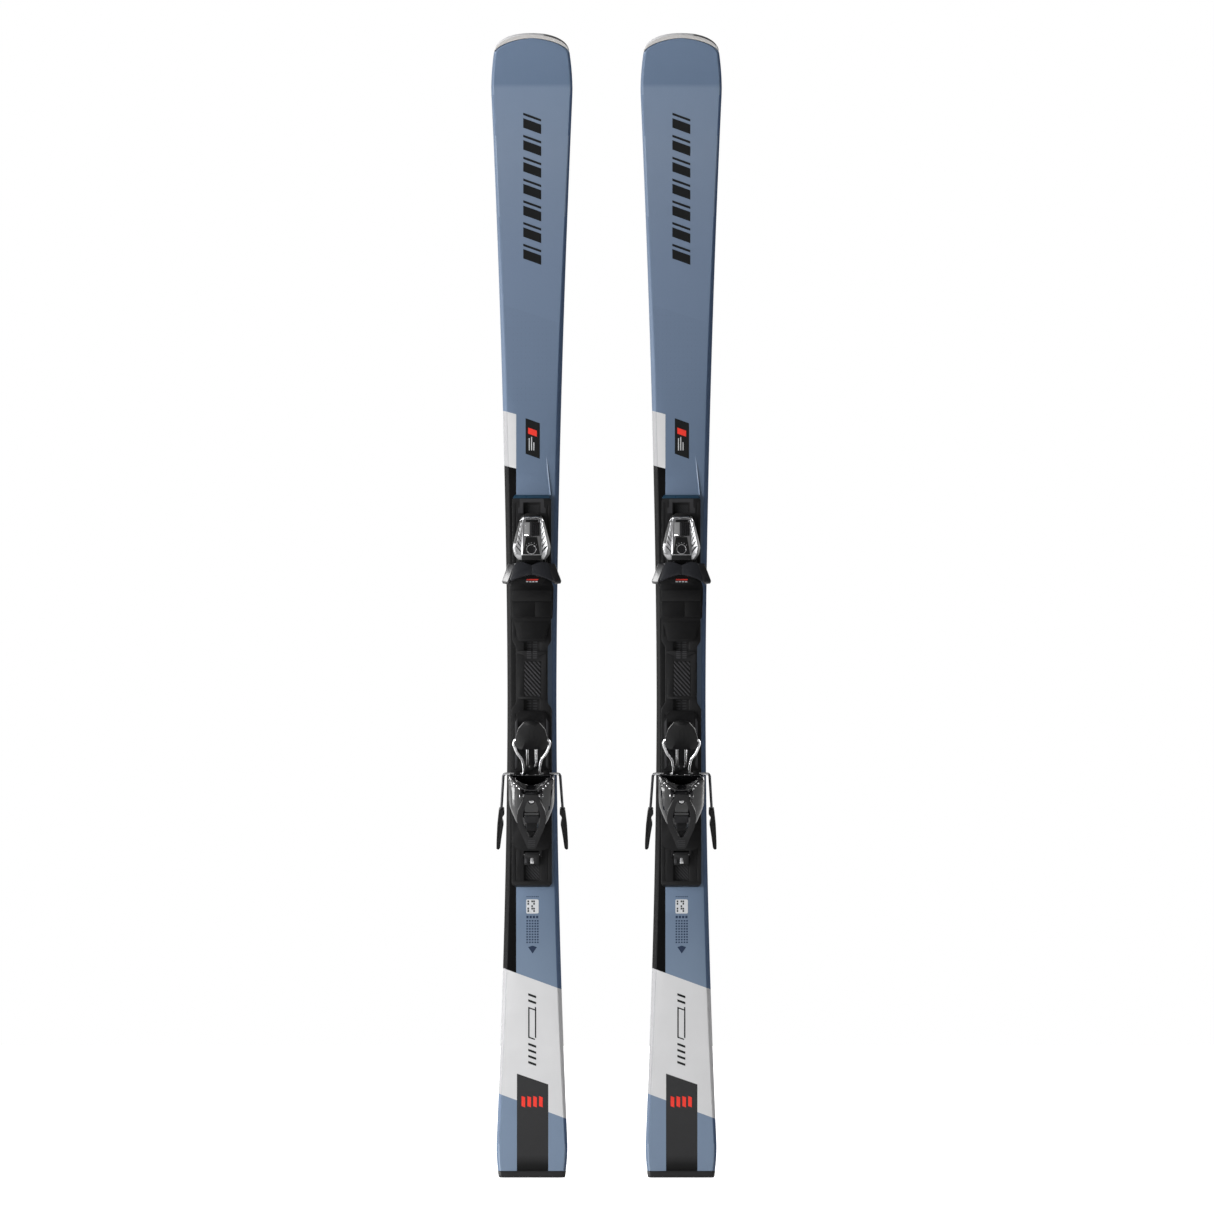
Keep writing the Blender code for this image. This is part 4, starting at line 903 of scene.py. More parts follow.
def build_spine_crease():
    """The raised crease that runs to the plate's front corner."""
    rings = []
    for z in spread(PLATE_FRONT_Z + NOSE_LONG, PLATE_FRONT_Z + 0.062, 0.004):
        share = (z - PLATE_FRONT_Z - NOSE_LONG) / (0.062 - NOSE_LONG)
        x, high = 0.0276 - 0.006 * share, 0.0015 * (1 - share) + 0.0002
        foot = min(skin_height(x, z), skin_height(x - 0.001, z)) - 0.0004
        rings.append([(x - 0.0016, foot, z), (x + 0.0012, foot, z), (x + 0.0004, foot + 0.0004 + high, z)])
    fit("spine_crease", loft(rings), BLUE, "")


# ---------------------------------------------------------------- binding plate


def clipped(points, x, z):
    """The part of a convex outline that lies within a rectangle."""
    for axis, limit, way in ((0, x[0], 1), (0, x[1], -1), (1, z[0], 1), (1, z[1], -1)):
        out = []
        for i, point in enumerate(points):
            before = points[i - 1]
            inside, was_inside = (way * (p[axis] - limit) >= 0 for p in (point, before))
            if inside != was_inside:
                share = (limit - before[axis]) / (point[axis] - before[axis])
                out.append(tuple(b + (p - b) * share for b, p in zip(before, point)))
            if inside:
                out.append(point)
        points = out
    return points


def diagonal_ribs(x, z, h, pitch=0.0069, wide=0.0034, lean=-1.1):
    """Slanting ribs that fill a rectangle, cut off at its sides."""
    fall, ribs = (x[1] - x[0]) * lean, []
    for start in spread(z[0] - wide, z[1] - fall, pitch):
        points = [(x[0], start), (x[1], start + fall), (x[1], start + fall + wide), (x[0], start + wide)]
        points = clipped(points, x, z)
        heights = [point[1] for point in points] or [0.0]
        if max(heights) - min(heights) > wide / 3:
            ribs.append(slab(points, *h))
    return gathered(ribs)


def ladder(z, h, pitch=0.0037, wide=0.002):
    """Two columns of short rungs."""
    rungs = []
    for step in spread(z[0], z[1] - wide, pitch):
        for x in ((-0.0073, -0.001), (0.0017, 0.008)):
            rungs.append(box(x, h, (step, step + wide)))
    return gathered(rungs)


def build_plate():
    """The plate with its T-slot and grooves, its end pieces, the inlay and the rack in the slot."""
    half = [(0.0298, PLATE_REAR_Z), (0.0298, 0.698), (0.0235, 0.706), (0.0235, 0.79), (0.0288, 0.798)]
    half.append((0.0288, PLATE_FRONT_Z))
    plate = slab(turned_corners(mirrored(half), 0.0034), DECK_H + GAP, PLATE_TOP_H)
    tee = mirrored([(0.016, 0.0203), (0.016, 0.0242), (0.012, 0.0242), (0.012, 0.03)])
    plate = carved(plate, slab(tee, PLATE_REAR_Z + 0.0065, PLATE_FRONT_Z - 0.0065, "xh"))
    for side in (-1, 1):
        for z in ((0.443, 0.69), (0.806, 1.003)):
            groove = box(sorted((side * 0.0232, side * 0.024)), (0.0262, 0.03), z)
            plate = carved(plate, groove)
    fit("binding_plate", soften(plate, 0.0011, 3, 50), PLATE, "")
    ends = (("nose", PLATE_FRONT_Z, 1, 0.0252, 0.0288), ("heel", PLATE_REAR_Z, -1, 0.025, 0.029))
    for word, z, way, far_half, near_half in ends:
        long = NOSE_LONG if way > 0 else 0.0032
        rings = []
        for share, top in ((0.0, PLATE_TOP_H - 0.0016), (0.4, 0.0232), (1.0, DECK_H + GAP + 0.0012)):
            w = near_half + (far_half - near_half) * share
            place = z + way * (0.0001 + long * share)
            rings.append(symmetric([(w, DECK_H + GAP), (w, top)], place))
        fit(f"plate_{word}", soften(loft(rings), 0.0004), TEAL if way > 0 else PLATE, "")
    # a grey inlay around the slot's front end, thin enough to slide the toe piece over
    inlay = [(0.018, 1.0098), (0.018, 0.9975), (0.0206, 0.996), (0.0206, 0.9885)]
    inlay += [(0.0132, 0.9885), (0.0132, 1.0046)]
    inlay = slab(mirrored(inlay), PLATE_TOP_H - 0.0008, PLATE_TOP_H + 0.00012)
    fit("plate_inlay", inlay, GREY, "")
    slot_floor = (0.02, 0.02055)
    racks = [
        diagonal_ribs((-0.0088, 0.0108), (0.4436, 0.465), slot_floor, 0.0052, 0.0026),
        diagonal_ribs((-0.0092, 0.0107), (0.986, 1.0007), slot_floor, 0.004, 0.002),
        ladder((0.6965, 0.711), slot_floor),
        ladder((0.785, 0.7975), slot_floor),
    ]
    fit("slot_rack", gathered(racks), GREY, "")


def build_cover():
    """The strip between toe and heel, with its ribbed window and its ladder."""
    half = [(0.0215, 0.712), (0.0215, 0.784)]
    cover = slab(turned_corners(mirrored(half), 0.003), RIDE_H, 0.0295)
    cover = carved(cover, box((-0.0116, 0.014), (0.0284, 0.04), (0.716, 0.769)))
    for side in (-1, 1):
        cut = [(0.0095, 0.7757), (0.011, 0.7757), (0.0225, 0.7805), (0.0225, 0.7822)]
        cover = carved(cover, slab([(side * x, z) for x, z in cut], 0.0289, 0.04))
    fit("track_cover", soften(cover, 0.0007, 2, 50), PLATE, "")
    floor = box((-0.0113, 0.0137), (0.0281, 0.0286), (0.7163, 0.7687))
    fit("cover_floor", floor, INNER, "")
    ribs = diagonal_ribs((-0.0108, 0.0132), (0.717, 0.768), (0.0284, 0.0297))
    fit("cover_ribs", soften(ribs, 0.0003, 1, 50), GREY, "")
    fit("cover_ladder", ladder((0.7725, 0.7838), (0.029, 0.0299)), GREY, "")


# ---------------------------------------------------------------- toe piece


def slot_foot(z_low, z_high):
    """The T-shaped foot of a carriage, which runs in the plate's slot."""
    half = [(0.0156, 0.0207), (0.0156, 0.0238), (0.0116, 0.0238), (0.0116, RIDE_H + 0.0015)]
    return slab(mirrored(half), z_low, z_high, "xh")


def build_toe_base():
    """The toe's carriage with its foot, pad rail, tower, wing pins, front step and marks."""
    half = [(0.0196, 0.798), (0.0273, 0.829), (0.031, 0.833), (0.0325, 0.878), (0.029, 0.889)]
    half += [(0.0235, 0.905), (0.0205, 0.96), (0.016, 0.985)]
    deck = slab(turned_corners(mirrored(half), 0.0022), RIDE_H, TOE_DECK_H)
    post = [(0.015, 0.884), (0.0205, 0.89), (0.0205, 0.94), (0.015, 0.978)]
    rail = box((-0.024, 0.024), (TOE_DECK_H - 0.002, TOE_DECK_H + 0.0028), (0.86, 0.866))
    tower = slab(turned_corners(mirrored(post), 0.0015), TOE_DECK_H - 0.002, 0.0417)
    deck = joined(deck, tower, rail, slot_foot(0.806, 0.978))
    fit("toe_base", soften(deck, 0.0007, 2, 50), FRAME, "toe")
    panel = turned_corners(mirrored([(0.0188, 0.8005), (0.025, 0.827)]), 0.0012)
    fit("toe_base_panel", soften(slab(panel, 0.0336, 0.0343), 0.0005), PAD, "toe")
    for side, word in SIDES:
        x, z = WING_PIN
        pin = lathe([(0.0028, 0.039), (0.003, 0.0395), (0.003, 0.0645)], side * x, z, 20)
        fit(f"wing_pin_{word}", pin, DARK, "toe")
    step = [(0.0115, 0.9825), (0.0165, 0.979), (0.0195, 0.96), (0.0195, 0.945)]
    fit("toe_step", soften(slab(mirrored(step), 0.033, 0.0366), 0.0006), FRAME, "toe")
    mark_h = (0.0415, 0.042)
    starts = [-0.0085 + 0.0046 * i for i in range(4)]
    marks = gathered([box((x, x + 0.0033), mark_h, (0.8858, 0.8874)) for x in starts])
    fit("toe_mark_pale", marks, PALE, "toe")
    bar = slab([(-0.0085, 0.8885), (0.009, 0.8885), (0.01, 0.8905), (-0.0075, 0.8905)], *mark_h)
    fit("toe_mark_red", bar, RED, "toe")


TOE_STATIONS = [  # z, half width at the foot, half width of the flat top, top height
    (0.9850, 0.0138, 0.0085, 0.0470),
    (0.9815, 0.0162, 0.0112, 0.0545),
    (0.9740, 0.0190, 0.0122, 0.0600),
    (0.9560, 0.0240, 0.0132, 0.0672),
    (0.9430, 0.0272, 0.0135, 0.0712),
    (0.9370, 0.0282, 0.0136, 0.0722),
    (0.9265, 0.0262, 0.0140, 0.0722),
    (0.9185, 0.0200, 0.0135, 0.0690),
]


def toe_section(z):
    """The housing's half width at the foot, half width of the flat top and top height."""
    for ahead, behind in zip(TOE_STATIONS, TOE_STATIONS[1:]):
        if behind[0] <= z <= ahead[0]:
            share = (ahead[0] - z) / (ahead[0] - behind[0])
            return [a + (b - a) * share for a, b in zip(ahead[1:], behind[1:])]
    raise ValueError(f"no housing at {z}")


def toe_top(z):
    return toe_section(z)[2]


def toe_strip(left, right, z_low, z_high, lift, sink=0.0012):
    """A strip laid on the housing's top; left and right give x for a share along it."""
    rings = []
    for z in spread(z_low, z_high, 0.002):
        share = (z - z_low) / (z_high - z_low)
        top, a, b = toe_top(z), left(share), right(share)
        rings.append([(a, top - sink, z), (b, top - sink, z), (b, top + lift, z), (a, top + lift, z)])
    return loft(rings)


def housing_zone(x, h, z):
    """Smoked chrome above, and on the low corner left of the window as a painted highlight; dark plastic on
    the lower flanks as painted shade.
    """
    # painted highlight on the left low corner, painted shade on the lower flanks
    corner = z < 0.944 and -0.0265 < x < -0.012
    top = toe_top(min(max(z, TOE_STATIONS[-1][0]), TOE_STATIONS[0][0]))
    return SMOKED if corner or (h - TOE_LOW_H) > 0.55 * (top - TOE_LOW_H) else INNER


def ridge_zone(x, _, z):
    """Only the ridge's left slope is chrome, a painted highlight; its right slope and front are grey plastic
    as painted shade.
    """
    # painted highlight on the left slope; the rest is grey as painted shade
    return GREY if x > -0.0022 or z < 0.9552 else CHROME


def build_toe_housing():
    """The faceted housing with its spring's bore and screw's pocket, its rim and its bumper."""
    rings = []
    for z, foot, flat, top in TOE_STATIONS:
        low, rise = TOE_LOW_H, top - TOE_LOW_H
        half = [(foot, low), (foot, low + rise * 0.22), (foot * 0.97, low + rise * 0.34)]
        half += [(foot * 0.84, low + rise * 0.62), (flat + 0.0012, top - 0.0012), (flat, top)]
        rings.append(symmetric(half, z))
    housing = loft(rings)
    bore = tube([(0, 0.053, 0.9145), (0, 0.053, 0.9565)], 0.0098, 6)
    pocket = lathe([(0.0067, 0.0672), (0.0067, 0.08)], 0, SCREW_Z)
    housing = carved(housing, bore, pocket)
    housing = soften(housing, 0.0007, 2, 24)
    fit("toe_housing", housing, [SMOKED, INNER], "toe", crisp=24, zone=housing_zone)
    rim = [(-0.0166, 0.0475, 0.977), (-0.0148, 0.053, 0.979), (-0.0112, 0.0556, 0.9812)]
    rim += [(-0.004, 0.0563, 0.9818), (0.0, 0.0556, 0.9803)]
    rim += [(-x, h, z) for x, h, z in reversed(rim[:-1])]
    fit("toe_rim", tube(turned_corners(rim, 0.003, 4, False), 0.001), CHROME, "toe")
    bumper = [(0.008, 0.988), (0.0125, 0.9855), (0.0152, 0.98)]
    fit("toe_bumper", soften(slab(mirrored(bumper), 0.0418, 0.0488), 0.001, 3), INNER, "toe")


def build_toe_ridge():
    """The ridge ahead of the window, the slats on its right slope and the hood before it."""
    rings = []
    for z in spread(0.9545, 0.9745, 0.002):
        top = toe_top(z)
        profile = [(-0.0108, -0.0012), (0.0122, -0.0012), (0.0122, 0.0002)]
        profile += [(-0.0024, 0.004), (-0.0032, 0.0042), (-0.0108, 0.0002)]
        rings.append([(x, top + h, z) for x, h in profile])
    ridge = soften(loft(rings), 0.0004, 2, 12)
    fit("toe_ridge", ridge, [CHROME, GREY], "toe", crisp=20, zone=ridge_zone)
    slats = []
    for x in (0.001, 0.0038, 0.0066, 0.0094):
        lift = 0.004 - 0.0038 * (x + 0.0024 + 0.0006) / 0.0146
        slats.append(toe_strip(lambda s, x=x: x, lambda s, x=x: x + 0.0012, 0.955, 0.9742, lift + 0.0003))
    fit("toe_slats", gathered(slats), SHADE, "toe")
    hood = toe_strip(lambda s: -0.0086, lambda s: 0.0096, 0.975, 0.9785, 0.0007)
    fit("toe_hood", soften(hood, 0.0003), INNER, "toe")


def build_toe_window():
    """The dark window round the release screw, its ring and scale, the band behind and the flanks' fins."""
    window = toe_strip(lambda s: -0.0128 + 0.0046 * s, lambda s: 0.0128 - 0.0046 * s, 0.9268, 0.9525, 0.0005)
    window = carved(window, lathe([(0.0069, 0.065), (0.0069, 0.08)], 0, SCREW_Z))
    fit("toe_window", window, INNER, "toe")
    ring = [(0.0068 * math.cos(a), 0.0728, SCREW_Z + 0.0068 * math.sin(a)) for a in circle(40)]
    fit("toe_screw_ring", tube(ring, 0.00055, 3), CHROME, "toe")
    ticks = []
    for degrees in (40, 65, 90, 115, 140):
        a = math.radians(degrees)
        ends = [(r * math.cos(a), SCREW_Z + r * math.sin(a)) for r in (0.0086, 0.0104)]
        ticks.append(tube([(x, toe_top(z) + 0.0005, z) for x, z in ends], 0.00022, 1))
    fit("toe_scale", gathered(ticks), PALE, "toe")
    band = toe_strip(lambda s: -0.015, lambda s: 0.015, 0.9186, 0.9256, 0.0008)
    fit("toe_band", soften(band, 0.0004), FRAME, "toe")
    for side, word in SIDES:
        fins = [flank_fin(side, z) for z in (0.93, 0.9375, 0.945, 0.9525, 0.96, 0.9675)]
        fit(f"toe_flank_{word}", gathered(fins), SHADE, "toe")


def flank_fin(side, z):
    """A dark fin that runs forward down the housing's flank."""
    rings = []
    for step in range(6):
        share = 0.12 + 0.76 * step / 5
        place = z + 0.01 * share
        foot, flat, top = toe_section(place)
        rise = top - TOE_LOW_H
        x = flat + 0.0012 + (foot * 0.84 - flat - 0.0012) * share
        h = top - 0.0012 + (TOE_LOW_H + rise * 0.62 - top + 0.0012) * share
        wide, proud = 0.0011, 0.0004
        corners = ((-0.001, -wide), (proud, -wide * 0.6), (proud, wide * 0.6), (-0.001, wide))
        rings.append([(side * (x + out), h + out, place + along) for out, along in corners])
    return loft(rings)


def circle(steps):
    return [2 * math.pi * i / steps for i in range(steps + 1)]


def screw_head(radius, low, top, z, drive):
    """A bevelled head with a ring groove and a cross or a slot."""
    head = lathe(
        [(radius, low), (radius, top - 0.0012), (radius * 0.94, top - 0.0004), (radius * 0.86, top)], 0, z, 40
    )
    groove = carved(
        lathe([(radius * 0.74, top - 0.0005), (radius * 0.74, top + 0.001)], 0, z, 40),
        lathe([(radius * 0.62, top - 0.001), (radius * 0.62, top + 0.002)], 0, z, 40),
    )
    cutters = [groove]
    for turn in (0, 90) if drive == "cross" else (0,):
        wide, long = radius * 0.13, radius * 0.5
        cut = box((-long, long), (top - 0.0022, top + 0.002), (-wide, wide))
        cut.data.transform(Matrix.Translation((0, 0, z)) @ Matrix.Rotation(math.radians(turn + 20), 4, "Y"))
        cutters.append(cut)
    return carved(head, *cutters)


def build_wings():
    """Each wing turns on a pin and reaches out from under a roof that is fixed to the toe piece."""
    for side, word in SIDES:
        low = arc(WING_PIN, 0.0113, 265, 45, 22)
        low += [(0.0255, 0.9138), (0.0343, 0.9136), (0.044, 0.8878), (0.0428, 0.8838), (0.0345, 0.8826)]
        low += [(0.032, 0.885), (0.024, 0.891)]
        top = arc((0.0129, 0.9048), 0.0086, 265, 45, 22)
        top += [(0.024, 0.911), (0.0258, 0.9112), (0.0352, 0.8872), (0.0347, 0.8858), (0.0338, 0.8852)]
        top += [(0.0325, 0.8868), (0.0252, 0.8932)]
        rings = []
        for plan, h in ((low, 0.0425), (low, 0.0582), (top, 0.0632)):
            rings.append([(side * u, h, v) for u, v in plan])
        bore = lathe([(0.0033, 0.04), (0.0033, 0.07)], side * WING_PIN[0], WING_PIN[1], 24)
        shell = soften(carved(loft(rings), bore), 0.0006, 2, 24)
        fit(f"toe_wing_{word}", shell, WING, f"toe_wing_{word}", crisp=24)
    halves = []
    for side in (-1, 1):
        arch = [(0.0302 * t, 0.8966 - 0.01 * t**2) for t in (0.008, 0.25, 0.45, 0.62, 0.77, 0.9, 1.0)]
        rear = [(0.0318, 0.8895), (0.025, 0.9122), (0.0225, 0.915), (0.011, 0.9152), (0.0003, 0.9112)]
        half = slab([(side * x, z) for x, z in [*arch, *rear]], 0.0638, 0.0656)
        for vert in half.data.vertices:
            vert.co.y += 0.055 * max(0.0, abs(vert.co.x) - 0.0004)
        halves.append(half)
    fit("toe_roof", soften(gathered(halves), 0.0005, 2, 40), ROOF, "toe", crisp=24)


def build_pad():
    """The sliding pad under the boot's toe, which rides on the rail."""
    low, top = TOE_DECK_H + GAP, TOE_DECK_H + GAP + 0.0075
    plan = [(-0.029, 0.8345), (0.029, 0.8345), (0.029, 0.8745), (-0.029, 0.8745)]
    pad = slab(turned_corners(plan, 0.002), low, top)
    channel = box((-0.05, 0.05), (0.0, TOE_DECK_H + 0.0031), (0.8596, 0.8664))
    slit = box((0.0042, 0.0054), (top - 0.0016, 0.06), (0.83, 0.857))
    seam = box((-0.05, 0.05), (top - 0.0011, 0.06), (0.857, 0.858))
    pad = carved(pad, channel, slit, seam)
    fit("afd_plate", soften(pad, 0.0006, 2, 50), PAD, "afd_plate")


# ---------------------------------------------------------------- brake


def wire_painted_shade(x, _, __):
    """The brake wire is dark steel where it hangs beside the ski, as painted shade."""
    # painted shade: dark steel on the part that hangs beside the ski
    return DARK if abs(x) > 0.04 else STEEL


def build_brake():
    """The pedal with its wire and the arms with their claws, each at its turn at rest."""
    h, z = PEDAL_AXIS
    lift = about(PEDAL_AXIS, PEDAL_OPEN)
    low = [(0.0186, 0.0352), (0.0222, 0.0395), (0.0236, 0.056)]
    low += [(0.0196, 0.072), (0.0115, 0.0835), (0.0045, 0.0862)]
    top = [(0.014, 0.0372), (0.0118, 0.044), (0.0072, 0.058)]
    top += [(0.0062, 0.072), (0.0052, 0.08), (0.0028, 0.0822)]
    rings = []
    for half, above_axis in ((low, 0.0024), (low, 0.0046), (top, 0.008)):
        rings.append([(u, h + above_axis, z + v) for u, v in mirrored(half)])
    pedal = soften(loft(rings), 0.0005, 2, 20)
    fit("brake_pedal", pedal, CLAW, "brake_pedal", lift, 20)
    line_h, line_z = (h + 0.0078, h + 0.0083), (z + 0.047, z + 0.072)
    lines = gathered([box((x, x + 0.0006), line_h, line_z) for x in (-0.0035, 0.0029)])
    fit("pedal_lines", lines, FRAME, "brake_pedal", turn=lift)
    path = [(-0.0064, h, z + 0.064), (-0.0064, h, z), (0.0064, h, z), (0.0064, h, z + 0.064)]
    link = tube(turned_corners(path, 0.004, 8, False), 0.002)
    fit("brake_link", link, STEEL, "brake_pedal", lift)
    h, z = ARM_AXIS
    drop = about(ARM_AXIS, ARM_OPEN)
    droop = math.radians(ARM_DROOP)
    claw_place = drop @ Matrix.Translation(at(0, *ARM_AXIS)) @ Matrix.Rotation(droop, 4, "X")
    for side, word in SIDES:
        path = [(0.018, 0.061), (0.025, 0.058), (0.0272, 0.051), (0.0214, 0.0348), (0.0138, 0.0241)]
        path += [(0.0119, 0.01), (0.0119, 0.0), (0.042, 0.0)]
        path = [(side * x, h, z + d) for x, d in path]
        path.append((side * 0.0462, h - 0.074 * math.sin(droop), z - 0.074 * math.cos(droop)))
        arm = tube(turned_corners(path, 0.0048, 6, False), 0.002)
        # the dark steel on the arm's hanging part is painted shade
        wires = [STEEL, DARK]
        fit(f"brake_arm_{word}", arm, wires, "brake_arms", drop, zone=wire_painted_shade)
        fit(f"brake_tip_{word}", claw(side), CLAW, "brake_arms", claw_place, 40)


def claw(side):
    """The moulded end of a brake arm, drawn along its own wire."""
    start, end, half = 0.062, 0.1348, 0.0044

    def centre(d):
        return 0.0452 + 0.006 * (d - start) / (end - start)

    outer = [(centre(d) + half * w, -d) for d, w in ((start, 0.9), (start + 0.03, 1.0), (end - 0.012, 0.75))]
    outer += [(centre(end) + half * 0.55, -end + 0.001), (centre(end) - half * 0.2, -end)]
    outer.append((centre(end) - half * 0.7, -end + 0.003))
    run = [(end - 0.022, 0.8), (start + 0.034, 1.0), (start + 0.026, 1.15), (start + 0.018, 0.45)]
    run += [(start + 0.013, 0.55), (start + 0.009, 1.1), (start, 0.9)]
    plan = [(side * x, d) for x, d in outer + [(centre(d) - half * w, -d) for d, w in run]]
    tip = slab(turned_corners(plan, 0.0026), -0.0035, 0.0035)
    rib = [(side * (centre(d) + 0.0004 * w), -d) for d, w in ((start + 0.006, -1), (end - 0.02, -1))]
    rib += [(side * (centre(d) + 0.0014), -d) for d in (end - 0.02, start + 0.006)]
    return soften(carved(tip, slab(rib, 0.0029, 0.01)), 0.0016, 3, 40)


# ---------------------------------------------------------------- heel piece


def build_heel_base():
    """The heel's carriage with its foot, ears and brake saddles, its axle, latch pin, bars and rails."""
    plan = [(0.015, 0.487), (0.025, 0.491), (0.0292, 0.5), (0.0292, 0.5965), (0.027, 0.6)]
    plan += [(0.027, 0.68), (0.018, 0.695)]
    base = slab(turned_corners(mirrored(plan), 0.003), RIDE_H, HEEL_DECK_H)
    recess = box((-0.05, 0.05), (BRAKE_FLOOR_H, 0.06), (0.5965, 0.75))
    well = mirrored([(0.0095, 0.627), (0.0185, 0.643), (0.0185, 0.678)])
    well = slab(turned_corners(well, 0.003), 0.0302, 0.06)
    base = carved(base, recess, well)
    extra = [slot_foot(0.49, 0.69), box((-0.0028, 0.0028), (0.03, 0.0376), (0.6075, 0.6165))]
    for side in (-1, 1):
        extra.append(box(sorted((side * 0.0175, side * 0.0265)), (0.03, 0.0378), (0.594, 0.6062)))
        ear = [(0.555, 0.033), (0.586, 0.033), *arc(cup(0, 0), 0.0065, 0, 180, 14)]
        extra.append(slab(ear, *sorted((side * 0.0215, side * 0.0275)), "zh"))
        latch_ear = [(0.489, 0.028), (0.489, 0.0345), (0.48, 0.0345), (0.477, 0.031), (0.477, 0.028)]
        extra.append(slab(latch_ear, *sorted((side * 0.0115, side * 0.015)), "zh"))
    base = joined(base, *extra)
    base = carved(base, cross_rod(0.0024, 0.04, *ARM_AXIS), cross_rod(0.0024, 0.006, *PEDAL_AXIS))
    fit("heel_base", soften(base, 0.0005, 2, 50), FRAME, "heel")
    fit("heel_axle", cross_rod(0.003, 0.033, *CUP_AXIS), CHROME, "heel")
    fit("latch_pin", cross_rod(0.0013, 0.0148, *LATCH_AXIS), CHROME, "heel")
    fit("heel_floor_bars", ladder((0.656, 0.677), (0.03, 0.0309)), GREY, "heel")
    for side, word in SIDES:
        plan = ((0.0212, 0.612), (0.0248, 0.608), (0.0248, 0.678), (0.0212, 0.684))
        rail = slab([(side * u, v) for u, v in plan], 0.0308, 0.0317)
        fit(f"heel_rail_{word}", soften(rail, 0.0006), GREY, "heel")


CUP_STATIONS = [  # ahead of the axle: half width, underside, roof
    (0.0440, 0.0312, 0.0172, 0.0216),
    (0.0420, 0.0326, 0.0140, 0.0250),
    (0.0380, 0.0338, 0.0074, 0.0286),
    (0.0320, 0.0344, -0.0026, 0.0314),
    (0.0316, 0.0344, -0.0056, 0.0316),
    (0.0250, 0.0345, -0.0056, 0.0335),
    (0.0120, 0.0345, -0.0078, 0.0356),
    (0.0000, 0.0344, -0.0075, 0.0362),
    (-0.0080, 0.0334, -0.0040, 0.0358),
    (-0.0180, 0.0300, 0.0034, 0.0348),
    (-0.0300, 0.0250, 0.0122, 0.0330),
    (-0.0400, 0.0206, 0.0195, 0.0305),
    (-0.0470, 0.0172, 0.0244, 0.0286),
    (-0.0495, 0.0150, 0.0262, 0.0276),
]


CUP_RIVETS = [  # from the middle, ahead of the axle, above the axle
    (0.0250, 0.0385, 0.0257),
    (0.0215, 0.0350, 0.0277),
    (0.0178, 0.0318, 0.0299),
    (0.0142, 0.0290, 0.0315),
]


def cup(d, r):
    """(z, h) of a point d ahead of the cup's axle and r above it."""
    return (CUP_AXIS[1] + d, CUP_AXIS[0] + r)


def build_heel_cup():
    """The cup's shell, hollowed for the boot, the spring, the axle and the screw."""
    opened = about(CUP_AXIS, CUP_OPEN)
    rings = []
    for d, wide, under, roof in CUP_STATIONS:
        shoulder = under + (roof - under) * 0.42
        half = [(wide * 0.96, under), (wide, under + (shoulder - under) * 0.4)]
        for step in range(0, 91, 10):
            a = math.radians(step)
            half.append((wide * math.cos(a) ** 0.72, shoulder + (roof - shoulder) * math.sin(a) ** 0.8))
        z, h = cup(d, 0)
        right = [(u, h + v) for u, v in half if u > 0.0006]
        rings.append(symmetric(right, z))
    shell = loft(rings)
    inner = turned_corners(mirrored([(0.0285, 0.06), (0.0285, 0.024), (0.02, 0.0115)]), 0.004)
    axle_z, axle_h = cup(0, 0)
    cutters = [slab([(x, axle_z + d) for x, d in inner], axle_h - 0.0026, axle_h + 0.0185)]
    notch = mirrored([(0.0265, 0.06), (0.0225, 0.04), (0.0135, 0.034), (0.006, 0.0305)])
    notch = turned_corners(notch, 0.003)
    cutters.append(slab([(x, axle_z + d) for x, d in notch], axle_h + 0.01, axle_h + 0.06))
    for side in (-1, 1):
        swing = arc((0, 0), 0.01, 30, 150, 8)
        swing += [(-0.0225, 0.0045), (-0.024, -0.03), (0.012, -0.03), (0.024, -0.016)]
        swing = [cup(d, r) for d, r in swing]
        cutters.append(slab(swing, *sorted((side * 0.021, side * 0.0282)), "zh"))
    cutters.append(cross_rod(0.0036, 0.04, axle_h, axle_z))
    cutters.append(box((-0.01, 0.01), (axle_h + 0.0345, axle_h + 0.06), (axle_z - 0.0135, axle_z - 0.0085)))
    cutters.append(tube([(0, axle_h + 0.02, axle_z - 0.026), (0, axle_h + 0.02, axle_z + 0.006)], 0.008, 4))
    cutters.append(lathe([(0.0047, axle_h + 0.03), (0.0047, axle_h + 0.05)], 0, axle_z + 0.012, 24))
    shell = sculpt(carved(shell, *cutters), 0.0007, 4)
    fit("heel_cup", shell, GLOSS, "heel_cup", opened, 60)


